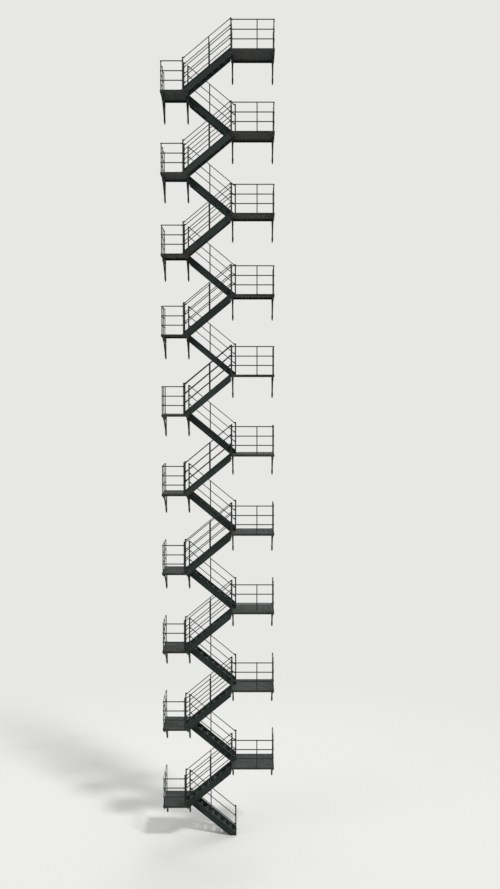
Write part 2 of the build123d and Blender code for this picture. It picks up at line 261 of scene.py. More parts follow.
class Workshop:
    """Modelling by operators: a primitive, shaped in edit mode, then copied or arrayed."""

    @staticmethod
    def deselect() -> None:
        """Leave edit mode and clear the selection."""
        if bpy.context.object and bpy.context.object.mode != "OBJECT":
            bpy.ops.object.mode_set(mode="OBJECT")
        bpy.ops.object.select_all(action="DESELECT")

    @classmethod
    def only(cls, piece: bpy.types.Object) -> None:
        """Make one object the only selected and active one.

        Args:
            piece: The object.
        """
        cls.deselect()
        piece.select_set(True)
        bpy.context.view_layer.objects.active = piece

    @classmethod
    def settle(cls, piece: bpy.types.Object) -> bpy.types.Object:
        """Put the object's place, turn and size into its mesh.

        Args:
            piece: The object.

        Returns:
            The same object.
        """
        cls.only(piece)
        bpy.ops.object.transform_apply(location=True, rotation=True, scale=True)
        return piece

    @classmethod
    def block(cls, name: str, low: Point, high: Point) -> bpy.types.Object:
        """Add a cube primitive at its size and place, as a start.

        Args:
            name: Name of the object.
            low: Its lowest corner.
            high: Its highest corner.

        Returns:
            The new object, with its place in its mesh.
        """
        cls.deselect()
        middle = [(a + b) / 2 for a, b in zip(low, high)]
        size = [b - a for a, b in zip(low, high)]
        bpy.ops.mesh.primitive_cube_add(size=1, location=middle, scale=size)
        bpy.context.object.name = name
        return cls.settle(bpy.context.object)

    @classmethod
    def round_bar(cls, name: str, foot: Point, length: float, radius: float,
                  sides: int) -> bpy.types.Object:
        """Add an upright cylinder primitive, as a start.

        Args:
            name: Name of the object.
            foot: Middle of its lower end.
            length: Its height.
            radius: Its radius, to the corners.
            sides: Number of sides.

        Returns:
            The new object, with its place in its mesh.
        """
        cls.deselect()
        middle = Vector(foot) + Vector((0, 0, length / 2))
        bpy.ops.mesh.primitive_cylinder_add(vertices=sides, radius=radius, depth=length,
                                            location=middle)
        bpy.context.object.name = name
        return cls.settle(bpy.context.object)

    @classmethod
    def pick(cls, piece: bpy.types.Object, kind: Element, wanted: Wanted) -> None:
        """Select the faces or edges that a test wants, and go to edit mode.

        Args:
            piece: The object to edit.
            kind: What to select.
            wanted: Test of one polygon or edge, with the mesh.
        """
        cls.only(piece)
        mesh = piece.data
        faces = kind is Element.FACE
        chosen = mesh.polygons if faces else mesh.edges
        marks = [wanted(item, mesh) for item in chosen]
        bpy.context.tool_settings.mesh_select_mode = (False, not faces, faces)
        bpy.ops.object.mode_set(mode="EDIT")
        bpy.ops.mesh.select_all(action="DESELECT")
        bpy.ops.object.mode_set(mode="OBJECT")
        for item, mark in zip(chosen, marks):
            item.select = mark
        bpy.ops.object.mode_set(mode="EDIT")

    @classmethod
    def cut(cls, piece: bpy.types.Object, place: Point, normal: Point) -> None:
        """Cut a piece's faces along a plane, and keep both sides joined.

        Args:
            piece: The object to cut.
            place: A point on the plane.
            normal: The plane's normal.
        """
        cls.pick(piece, Element.FACE, everything)
        bpy.ops.mesh.bisect(plane_co=place, plane_no=normal)
        bpy.ops.object.mode_set(mode="OBJECT")

    @classmethod
    def pull(cls, piece: bpy.types.Object, wanted: Wanted, move: Point,
             taper: Optional[float] = None) -> None:
        """Extrude the faces that a test wants.

        Args:
            piece: The object to edit.
            wanted: Test of one face, with the mesh.
            move: How far the faces go.
            taper: Factor on the moved faces in X and Y, if they shrink.
        """
        cls.pick(piece, Element.FACE, wanted)
        bpy.ops.mesh.extrude_region_move(TRANSFORM_OT_translate={"value": move})
        if taper is not None:
            bpy.ops.transform.resize(value=(taper, taper, 1))
        bpy.ops.object.mode_set(mode="OBJECT")

    @classmethod
    def bevel(cls, piece: bpy.types.Object, width: float, segments: int = 1,
              wanted: Wanted = everything) -> bpy.types.Object:
        """Bevel the edges that a test wants.

        Args:
            piece: The object to bevel.
            width: Width of the bevel.
            segments: Number of steps across it.
            wanted: Test of one edge, with the mesh.

        Returns:
            The same object.
        """
        cls.pick(piece, Element.EDGE, wanted)
        bpy.ops.mesh.bevel(offset=width, segments=segments, affect="EDGES")
        bpy.ops.object.mode_set(mode="OBJECT")
        return piece

    @classmethod
    def array(cls, piece: bpy.types.Object, count: int, step: Point) -> bpy.types.Object:
        """Repeat a piece at even steps within its own mesh.

        Args:
            piece: The object to repeat.
            count: How many there are in the end.
            step: Distance from one to the next.

        Returns:
            The same object.
        """
        cls.only(piece)
        modifier = piece.modifiers.new("repeat", "ARRAY")
        modifier.count = count
        modifier.use_relative_offset = False
        modifier.use_constant_offset = True
        modifier.constant_offset_displace = step
        bpy.ops.object.modifier_apply(modifier=modifier.name)
        return piece

    @classmethod
    def every_storey(cls, piece: bpy.types.Object, plan: StairPlan) -> bpy.types.Object:
        """Repeat a piece from the lowest storey up to the top one."""
        return cls.array(piece, plan.storeys, (0, 0, plan.storey_height))

    @classmethod
    def join(cls, name: str, parts: Sequence[bpy.types.Object]) -> bpy.types.Object:
        """Join objects into one.

        Args:
            name: Name of the object that is left.
            parts: The objects, at least one.

        Returns:
            The first of them, which now holds them all.
        """
        cls.deselect()
        for part in parts:
            part.select_set(True)
        bpy.context.view_layer.objects.active = parts[0]
        if len(parts) > 1:
            bpy.ops.object.join()
        parts[0].name = name
        parts[0].data.name = name
        return parts[0]

    @classmethod
    def mirror(cls, piece: bpy.types.Object, axis: Axis, at: float) -> bpy.types.Object:
        """Make a mirror copy of a piece across a plane, with its faces outwards.

        Args:
            piece: The object to mirror.
            axis: The axis that is turned round.
            at: Place of the plane on that axis.

        Returns:
            The copy.
        """
        cls.only(piece)
        bpy.ops.object.duplicate(linked=False)
        twin = bpy.context.object
        twin.scale = [-1 if number == axis.value else 1 for number in range(3)]
        twin.location[axis.value] = 2 * at
        cls.settle(twin)
        bpy.ops.object.mode_set(mode="EDIT")
        bpy.ops.mesh.select_all(action="SELECT")
        bpy.ops.mesh.normals_make_consistent(inside=False)
        bpy.ops.object.mode_set(mode="OBJECT")
        return twin


class Value:
    """A shader socket that carries a number, with arithmetic that adds its Math nodes."""

    def __init__(self, tree: "ShaderTree", socket: bpy.types.NodeSocket) -> None:
        """Wrap a socket of one node tree."""
        self.tree = tree
        self.socket = socket

    def _math(self, operation: str, first: Any, second: Any) -> "Value":
        """Add one Math node on two numbers or values."""
        node = self.tree.node("ShaderNodeMath", {"operation": operation}, {0: first, 1: second})
        return Value(self.tree, node.outputs[0])

    def __add__(self, other: "Number") -> "Value":
        """Sum."""
        return self._math("ADD", self, other)

    __radd__ = __add__

    def __sub__(self, other: "Number") -> "Value":
        """Difference."""
        return self._math("SUBTRACT", self, other)

    def __rsub__(self, other: "Number") -> "Value":
        """Difference, the other way round."""
        return self._math("SUBTRACT", other, self)

    def __mul__(self, other: "Number") -> "Value":
        """Product."""
        return self._math("MULTIPLY", self, other)

    def __truediv__(self, other: "Number") -> "Value":
        """Quotient."""
        return self._math("DIVIDE", self, other)

    def __abs__(self) -> "Value":
        """Size without sign."""
        return self._math("ABSOLUTE", self, 0.0)

    def root(self) -> "Value":
        """Square root."""
        return self._math("SQRT", self, 0.0)

    def fraction(self) -> "Value":
        """What is left after the whole numbers are taken off."""
        return self._math("FRACT", self, 0.0)

    def above(self, low: float, high: float) -> "Value":
        """Smooth step from 0 at one level to 1 at another.

        Args:
            low: Level that gives 0.
            high: Level that gives 1; it may be the lower one.

        Returns:
            The mask.
        """
        settings = {"interpolation_type": "SMOOTHSTEP"}
        if high > low:
            inputs = {"Value": self, "From Min": low, "From Max": high}
        else:
            inputs = {"Value": self, "From Min": high, "From Max": low,
                      "To Min": 1.0, "To Max": 0.0}
        return Value(self.tree, self.tree.node("ShaderNodeMapRange", settings, inputs).outputs[0])


Number = Union[Value, float]


@dataclass(frozen=True)
class Grain:
    """One noise: cells to a metre, number and strength of its finer layers, and its stretch."""

    scale: float
    detail: float
    roughness: float = 0.6
    stretch: Optional[Point] = None


class ShaderTree:
    """Node tree of one material, and the few kinds of node that the finishes share."""

    def __init__(self, name: str) -> None:
        """Start a material with an empty tree.

        Args:
            name: Name of the material.
        """
        self.material = bpy.data.materials.new(name)
        self.material.use_nodes = True
        self.tree = self.material.node_tree
        self.tree.nodes.clear()

    def node(self, kind: str, settings: Optional[dict[str, Any]] = None,
             inputs: Optional[dict[Union[int, str], Any]] = None) -> bpy.types.Node:
        """Add any node, set it, then fill or link its sockets.

        Args:
            kind: The node's type.
            settings: Its properties, set before the sockets.
            inputs: Numbers, colours, sockets or values by socket name or number.

        Returns:
            The node.
        """
        node = self.tree.nodes.new(kind)
        for key, setting in (settings or {}).items():
            setattr(node, key, setting)
        for key, given in (inputs or {}).items():
            socket = node.inputs[key]
            if isinstance(given, Value):
                given = given.socket
            if isinstance(given, bpy.types.NodeSocket):
                self.tree.links.new(given, socket)
            else:
                socket.default_value = given
        return node

    def place(self, stretch: Optional[Point] = None) -> bpy.types.NodeSocket:
        """Object coordinates, stretched by a factor on each axis if one is given.

        Args:
            stretch: The factors, or None for none.

        Returns:
            The coordinates' socket.
        """
        coordinates = self.node("ShaderNodeTexCoord").outputs["Object"]
        if stretch is None:
            return coordinates
        mapping = self.node("ShaderNodeMapping", None, {"Vector": coordinates, "Scale": stretch})
        return mapping.outputs[0]

    def noise(self, grain: Grain) -> Value:
        """Noise on the object's coordinates, around 0.5.

        Args:
            grain: What the noise is like.

        Returns:
            The noise.
        """
        inputs = {"Vector": self.place(grain.stretch), "Scale": grain.scale,
                  "Detail": grain.detail, "Roughness": grain.roughness}
        return Value(self, self.node("ShaderNodeTexNoise", None, inputs).outputs[0])

    def bump(self, relief: Value, strength: float, distance: float) -> bpy.types.NodeSocket:
        """Normal that follows a relief.

        Args:
            relief: Height of the surface, as a share of the distance.
            strength: Strength of the effect.
            distance: The relief's full height, in metres.

        Returns:
            The normal socket.
        """
        inputs = {"Strength": strength, "Distance": distance, "Height": relief}
        return self.node("ShaderNodeBump", None, inputs).outputs[0]

    def height(self) -> Value:
        """Height of the shaded point in the frame."""
        split = self.node("ShaderNodeSeparateXYZ", None, {0: self.place()})
        return Value(self, split.outputs[2])

    def upward(self) -> Value:
        """How far the surface looks upwards, from -1 to 1.

        Returns:
            The upward part of the surface's normal.
        """
        normal = self.node("ShaderNodeNewGeometry").outputs["Normal"]
        split = self.node("ShaderNodeSeparateXYZ", None, {0: normal})
        return Value(self, split.outputs[2])

    def mix(self, factor: Number, first: Any, second: Any) -> bpy.types.NodeSocket:
        """Blend two colours.

        Args:
            factor: Share of the second one.
            first: A colour of three numbers, or a socket.
            second: A colour of three numbers, or a socket.

        Returns:
            The colour socket.
        """
        first = (*first, 1.0) if isinstance(first, tuple) else first
        second = (*second, 1.0) if isinstance(second, tuple) else second
        node = self.node("ShaderNodeMix", {"data_type": "RGBA"}, {0: factor, 6: first, 7: second})
        return node.outputs[2]

    def surface(self, shader: bpy.types.NodeSocket) -> bpy.types.Material:
        """Link a shader to the output and give back the material."""
        self.node("ShaderNodeOutputMaterial", None, {"Surface": shader})
        return self.material


@dataclass(frozen=True)
class Masks:
    """What the layers of one paint share: its noises, and masks from 0 to 1."""

    broad: Value
    mottled: Value
    fine: Value
    streaks: Value
    top: Value
    below: Value
    near_deck: Value
    rust_spread: Value

    def blend(self, shares: dict[str, float]) -> Value:
        """Sum of some of the noises and masks, by name, each with its share."""
        parts = [getattr(self, name) * share for name, share in shares.items()]
        return sum(parts[1:], parts[0])


@dataclass(frozen=True)
class WornPaint:
    """Old dark paint on steel: chalk above, painted shade below, rust near the decks, and pitting.

    Chalk, rust, wear, soot and run say how far each layer covers the paint, from 0 to 1, and the
    underside shade says how far the painted shade darkens faces that look down.
    Shade and glow are factors on the paint where it is darkest and lightest. The roughnesses
    are what chalk, rust and the fine noise add to the paint's own.
    """

    paint: Colour
    chalk: float
    rust: float
    wear: float
    gloss: float
    soot: float = 0.5
    run: float = 0.55
    # Strength of the painted shade on faces that look down.
    underside_shade: float = 0.6
    shine: float = 0.12
    shade: float = 0.72
    glow: float = 1.3
    chalk_on_sides: float = 0.25
    rust_off_deck: float = 0.4
    chalk_roughness: float = 0.25
    rust_roughness: float = 0.3
    fine_roughness: float = 0.2
    rust_relief: float = 0.9
    pitting: float = 0.35
    pit_depth: float = 0.002
    chalk_colour: Colour = (0.062, 0.082, 0.079)
    rust_dark: Colour = (0.055, 0.022, 0.01)
    rust_light: Colour = (0.19, 0.075, 0.028)
    bare_colour: Colour = (0.1, 0.1, 0.096)
    # Colour of the soot, and also of the painted shade on faces that look down.
    soot_and_shade_colour: Colour = (0.006, 0.008, 0.007)

    # The noises.
    BROAD = Grain(0.9, 4.0, 0.55)
    MOTTLED = Grain(9.0, 5.0)
    FINE = Grain(70.0, 4.0)
    STREAKS = Grain(1.0, 5.0, stretch=(38.0, 38.0, 2.2))

    # The levels at which each mask is 0 and 1.
    TOP_LEVELS = (0.35, 0.95)
    BELOW_LEVELS = (-0.35, -0.95)
    DECK_LEVELS = (0.16, 0.02)
    SHADE_LEVELS = (0.3, 0.7)
    SOOT_LEVELS = (0.55, 0.75)
    CHALK_LEVELS = (0.42, 0.68)
    RUN_LEVELS = (0.56, 0.74)
    SPOT_LEVELS = (0.585, 0.67)
    RUST_LEVELS = (0.35, 0.65)
    RUB_LEVELS = (0.5, 0.62)

    # Shares of the noises in the patches of chalk, the spots of rust, the rubbed places and
    # the relief.
    CHALK_SHARES = {"mottled": 0.6, "broad": 0.4}
    SPOT_SHARES = {"mottled": 0.55, "fine": 0.45, "near_deck": 0.07}
    RUB_SHARES = {"fine": 0.5, "broad": 0.5}
    RELIEF_SHARES = {"fine": 0.35, "mottled": 0.25}

    def masks(self, tree: ShaderTree, plan: StairPlan) -> Masks:
        """Add the noises and masks that the layers share.

        Args:
            tree: The paint's node tree.
            plan: The stair's plan, for the levels of the decks.

        Returns:
            The noises and masks.
        """
        broad, mottled, fine, streaks = (
            tree.noise(grain) for grain in (self.BROAD, self.MOTTLED, self.FINE, self.STREAKS))
        top = tree.upward().above(*self.TOP_LEVELS)
        # Faces that look down, which get the painted shade.
        below = tree.upward().above(*self.BELOW_LEVELS)
        decks_up = (tree.height() - plan.first_platform) / (plan.storey_height / 2)
        from_deck = abs((decks_up + 0.5).fraction() - 0.5)
        near_deck = from_deck.above(*self.DECK_LEVELS)
        rust_spread = near_deck * (1.0 - self.rust_off_deck) + self.rust_off_deck
        return Masks(broad, mottled, fine, streaks, top, below, near_deck, rust_spread)

    def chalky(self, masks: Masks) -> Value:
        """Where the paint has gone to chalk, most of all on top faces.

        Args:
            masks: The paint's noises and masks.

        Returns:
            The mask.
        """
        patches = masks.blend(self.CHALK_SHARES).above(*self.CHALK_LEVELS)
        on_top = masks.top * (1.0 - self.chalk_on_sides) + self.chalk_on_sides
        return patches * on_top * self.chalk

    def rusted(self, masks: Masks) -> Value:
        """Where rust has come through in spots, most of all near the decks."""
        spots = masks.blend(self.SPOT_SHARES).above(*self.SPOT_LEVELS)
        return spots * masks.rust_spread * self.rust

    def tone(self, tree: ShaderTree, masks: Masks, chalky: Value,
             rusted: Value) -> bpy.types.NodeSocket:
        """Lay the layers of colour over each other, from the paint up.

        Args:
            tree: The paint's node tree.
            masks: Its noises and masks.
            chalky: Where the paint is chalky.
            rusted: Where it is rusted.

        Returns:
            The colour socket.
        """
        dark, light = (tuple(share * part for part in self.paint)
                       for share in (self.shade, self.glow))
        tone = tree.mix(masks.broad.above(*self.SHADE_LEVELS), dark, light)
        sooty = masks.mottled.above(*self.SOOT_LEVELS) * self.soot
        tone = tree.mix(sooty, tone, self.soot_and_shade_colour)
        tone = tree.mix(chalky, tone, self.chalk_colour)
        runs = masks.streaks.above(*self.RUN_LEVELS) * masks.rust_spread * self.run * self.rust
        tone = tree.mix(runs, tone, self.rust_dark)
        rust = tree.mix(masks.fine.above(*self.RUST_LEVELS), self.rust_dark, self.rust_light)
        tone = tree.mix(rusted, tone, rust)
        rubbed = masks.blend(self.RUB_SHARES).above(*self.RUB_LEVELS) * masks.top * self.wear
        tone = tree.mix(rubbed, tone, self.bare_colour)
        # Painted shade: faces that look down are darkened towards the soot colour.
        return tree.mix(masks.below * self.underside_shade, tone, self.soot_and_shade_colour)

    def material(self, name: str, plan: StairPlan) -> bpy.types.Material:
        """Build the paint's node tree.

        Args:
            name: Name of the material.
            plan: The stair's plan, for the levels of the decks.

        Returns:
            The material.
        """
        tree = ShaderTree(name)
        masks = self.masks(tree, plan)
        chalky = self.chalky(masks)
        rusted = self.rusted(masks)
        worn = chalky * self.chalk_roughness + rusted * self.rust_roughness
        uneven = (masks.fine - 0.5) * self.fine_roughness
        relief = masks.blend(self.RELIEF_SHARES) + rusted * self.rust_relief
        shader = tree.node("ShaderNodeBsdfPrincipled", None, {
            "Base Color": self.tone(tree, masks, chalky, rusted),
            "Roughness": (1.0 - self.gloss) + worn + uneven,
            "Normal": tree.bump(relief, self.pitting, self.pit_depth),
            "Metallic": 0.0,
            "Specular IOR Level": self.shine,
        })
        return tree.surface(shader.outputs[0])


@dataclass(frozen=True)
class RustySteel:
    """Bolts, nuts and rivets: steel under thin paint, brown where the paint has gone."""

    name: str = "rusty_fastenings"
    paint: Colour = (0.018, 0.025, 0.023)
    rust: Colour = (0.1, 0.042, 0.018)
    dark: Colour = (0.03, 0.014, 0.008)
    patches: Grain = Grain(23.0, 4.0)
    fine: Grain = Grain(160.0, 4.0)
    patch_levels: tuple[float, float] = (0.45, 0.58)
    rust_levels: tuple[float, float] = (0.35, 0.65)
    roughness: float = 0.45
    rust_roughness: float = 0.35
    metallic: float = 0.25
    rust_dulling: float = 0.2
    pitting: float = 0.4
    pit_depth: float = 0.0008

    def material(self) -> bpy.types.Material:
        """Build the fastenings' node tree: smooth metal under paint, rough and dull under rust.

        Returns:
            The material.
        """
        tree = ShaderTree(self.name)
        rusty = tree.noise(self.patches).above(*self.patch_levels)
        fine = tree.noise(self.fine)
        rust = tree.mix(fine.above(*self.rust_levels), self.dark, self.rust)
        shader = tree.node("ShaderNodeBsdfPrincipled", None, {
            "Base Color": tree.mix(rusty, self.paint, rust),
            "Roughness": self.roughness + rusty * self.rust_roughness,
            "Metallic": self.metallic - rusty * self.rust_dulling,
            "Normal": tree.bump(fine, self.pitting, self.pit_depth),
        })
        return tree.surface(shader.outputs[0])


class Finishes:
    """Every finish of the stair, made once, by slot."""

    PAINTS = {
        Slot.FRAME: WornPaint((0.014, 0.021, 0.019), chalk=0.3, rust=0.5, wear=0.1, gloss=0.5),
        Slot.DECK: WornPaint((0.03, 0.042, 0.041), chalk=0.5, rust=0.35, wear=0.45, gloss=0.35),
        Slot.BRACKET: WornPaint((0.013, 0.019, 0.017), chalk=0.25, rust=0.55, wear=0.1,
                                gloss=0.5),
        Slot.STRINGER: WornPaint((0.016, 0.025, 0.023), chalk=0.4, rust=0.35, wear=0.2,
                                 gloss=0.48),
        Slot.TREAD: WornPaint((0.025, 0.034, 0.032), chalk=0.45, rust=0.35, wear=0.5,
                              gloss=0.38),
        Slot.RAIL: WornPaint((0.014, 0.021, 0.019), chalk=0.3, rust=0.4, wear=0.3, gloss=0.52),
    }

    def __init__(self, plan: StairPlan) -> None:
        """Build the materials, with the rust near the decks of this plan.

        Args:
            plan: The stair's plan.
        """
        self.by_slot = {
            slot: paint.material(slot.value, plan) for slot, paint in self.PAINTS.items()
        }
        self.fastening = RustySteel().material()

    def dress_nodes(self, frame: dict[str, Any]) -> None:
        """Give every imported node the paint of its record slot.
        """
        slots = {row["node"]: row["material_slot"] for row in frame["record"]["subparts"]}
        for name, node in frame["nodes"].items():
            paint = self.by_slot[Slot(slots[name])]
            node.data.materials.clear()
            node.data.materials.append(paint)

    def dress(self, piece: bpy.types.Object, slot: Slot,
              material: Optional[bpy.types.Material] = None) -> bpy.types.Object:
        """Finish a new piece and let it ride on the stair.

        Args:
            piece: The piece, in place.
            slot: The record's slot that it belongs to.
            material: Its material, where it isn't the slot's own paint.

        Returns:
            The same piece.
        """
        piece.data.materials.clear()
        piece.data.materials.append(material or self.by_slot[slot])
        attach(piece, BODY)
        LOG.info("%s: %d faces", piece.name, len(piece.data.polygons))
        return piece


@dataclass(frozen=True)
class RivetSize:
    """Radius and rise of a domed head, and its number of sides."""

    radius: float = 0.008
    rise: float = 0.003
    sides: int = 7


@dataclass(frozen=True)
class BoltSize:
    """Width of a hexagon across its corners, radius of its washer, and length of its stud."""

    across: float = 0.024
    washer: float = 0.017
    stud: float = 0.0


class Hardware:
    """Rivets, bolts and nuts, each modelled once at a place and then repeated.

    A rivet's rim is a share of its rise, and its top a share of its foot. The hexagon's
    height, its chamfer and the stud's radius and edge are shares of the width across.
    """

    RIVET_RIM = 0.45
    RIVET_TOP = 0.5
    WASHER_THICKNESS = 0.0025
    WASHER_SIDES = 14
    HEXAGON_HEIGHT = 0.42
    CHAMFER_IN = 0.07
    CHAMFER_UP = 0.05
    STUD_RADIUS = 0.26
    STUD_EDGE = 0.04
    STUD_SIDES = 10

    @staticmethod
    def _turned(piece: bpy.types.Object, place: Point, way: Way) -> bpy.types.Object:
        """Turn a piece that was made upright at the origin, and put it in its place.

        Args:
            piece: The piece.
            place: Where its origin goes.
            way: The way that its top looks.

        Returns:
            The same piece, with its place in its mesh.
        """
        piece.rotation_euler = way.value
        piece.location = place
        return Workshop.settle(piece)

    @classmethod
    def rivet(cls, name: str, place: Point, way: Way, size: RivetSize) -> bpy.types.Object:
        """Low domed head.

        Args:
            name: Name of the object.
            place: Middle of the face that it sits on.
            way: The way that it looks.
            size: Its size.

        Returns:
            The head.
        """
        rim = size.rise * cls.RIVET_RIM
        head = Workshop.round_bar(name, (0, 0, 0), rim, size.radius, size.sides)
        Workshop.pull(head, facing((0, 0, 1)), (0, 0, size.rise - rim), cls.RIVET_TOP)
        return cls._turned(head, place, way)

    @classmethod
    def bolt(cls, name: str, place: Point, way: Way, size: BoltSize) -> bpy.types.Object:
        """Hexagon head or nut on a washer, with a stud through it if it has one.

        Args:
            name: Name of the object.
            place: Middle of the face that it sits on.
            way: The way that it looks.
            size: Its size.

        Returns:
            The bolt.
        """
        across, foot = size.across, cls.WASHER_THICKNESS
        height = across * cls.HEXAGON_HEIGHT
        ring = Workshop.round_bar(name, (0, 0, 0), foot, size.washer, cls.WASHER_SIDES)
        head = Workshop.round_bar(name, (0, 0, foot), height, across / 2, 6)
        Workshop.pick(head, Element.FACE, facing((0, 0, 1)))
        bpy.ops.mesh.inset(thickness=across * cls.CHAMFER_IN)
        bpy.ops.transform.translate(value=(0, 0, across * cls.CHAMFER_UP))
        bpy.ops.object.mode_set(mode="OBJECT")
        parts = [ring, head]
        if size.stud:
            top = foot + height
            shank = Workshop.round_bar(name, (0, 0, top), size.stud, across * cls.STUD_RADIUS,
                                       cls.STUD_SIDES)
            Workshop.bevel(shank, across * cls.STUD_EDGE, 1, lambda edge, mesh: all(
                mesh.vertices[vertex].co.z > top + size.stud / 2 for vertex in edge.vertices))
            parts.append(shank)
        return cls._turned(Workshop.join(name, parts), place, way)


@dataclass
class BarFloor:
    """Open floors of one kind of deck: flat bars from end to end, riveted to cross bearers."""

    deck: Deck
    plan: StairPlan
    finishes: Finishes
    bar_count: int = 31
    bar_width: float = 0.038
    bar_edge: float = 0.0015
    bearer_spacing: float = 0.45
    bearer_depth: float = 0.045
    bearer_width: float = 0.04
    bearer_leg: float = 0.006
    channel_flange: float = 0.05
    end_inset: float = 0.024
    rivet: RivetSize = RivetSize()

    def __post_init__(self) -> None:
        """Take the floor's edges from the plan, and spread the bearers evenly between them."""
        platform = self.deck is Deck.PLATFORM
        plan = self.plan
        self.low = plan.platform_low if platform else plan.landing_low
        self.high = plan.platform_high if platform else plan.landing_high
        self.level = plan.first_platform if platform else plan.first_landing
        length = self.high.x - self.low.x
        gaps = max(2, round(length / self.bearer_spacing))
        self.bearer_step = length / gaps
        self.bearer_count = gaps - 1
        self.pitch = (self.high.y - self.low.y - self.bar_width) / (self.bar_count - 1)

    def bars(self) -> bpy.types.Object:
        """Flat bars from end to end, side by side across the floor.

        Returns:
            The bars of every storey.
        """
        low = (self.low.x, self.low.y, self.level - self.plan.floor_thickness)
        high = (self.high.x, self.low.y + self.bar_width, self.level)
        bar = Workshop.block(f"{self.deck.value}_floor_bars", low, high)
        Workshop.bevel(bar, self.bar_edge, 1, along(Axis.X))
        Workshop.array(bar, self.bar_count, (0, self.pitch, 0))
        return Workshop.every_storey(bar, self.plan)

    def bearers(self) -> bpy.types.Object:
        """Tee bearers across under the bars, between the front and back channels.

        Returns:
            The bearers of every storey.
        """
        top = self.level - self.plan.floor_thickness
        front = self.low.y + self.channel_flange
        back = self.high.y - self.channel_flange
        place = self.low.x + self.bearer_step
        half, half_leg = self.bearer_width / 2, self.bearer_leg / 2
        tee = Workshop.block(f"{self.deck.value}_bearers",
                             (place - half, front, top - self.bearer_leg),
                             (place + half, back, top))
        for edge in (place - half_leg, place + half_leg):
            Workshop.cut(tee, (edge, 0, 0), (1, 0, 0))
        Workshop.pull(tee, facing((0, 0, -1), lambda middle: abs(middle.x - place) < half_leg),
                      (0, 0, self.bearer_leg - self.bearer_depth))
        Workshop.array(tee, self.bearer_count, (self.bearer_step, 0, 0))
        return Workshop.every_storey(tee, self.plan)

    def rivets(self) -> bpy.types.Object:
        """Rivets through every bar at the bearers and at both ends.

        Returns:
            The rivets of every storey.
        """
        name = f"{self.deck.value}_floor_rivets"
        places = (self.low.x + self.bearer_step, self.low.x + self.end_inset,
                  self.high.x - self.end_inset)
        front = self.low.y + self.bar_width / 2
        first, *ends = [Hardware.rivet(name, (place, front, self.level), Way.UP, self.rivet)
                        for place in places]
        Workshop.array(first, self.bearer_count, (self.bearer_step, 0, 0))
        rivets = Workshop.join(name, [first, *ends])
        Workshop.array(rivets, self.bar_count, (0, self.pitch, 0))
        return Workshop.every_storey(rivets, self.plan)

    def build(self) -> None:
        """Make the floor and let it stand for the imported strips."""
        bars = self.finishes.dress(self.bars(), Slot.DECK)
        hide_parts(f"{self.deck.value}_decks")
        self.finishes.dress(self.bearers(), Slot.FRAME)
        self.finishes.dress(self.rivets(), Slot.DECK)


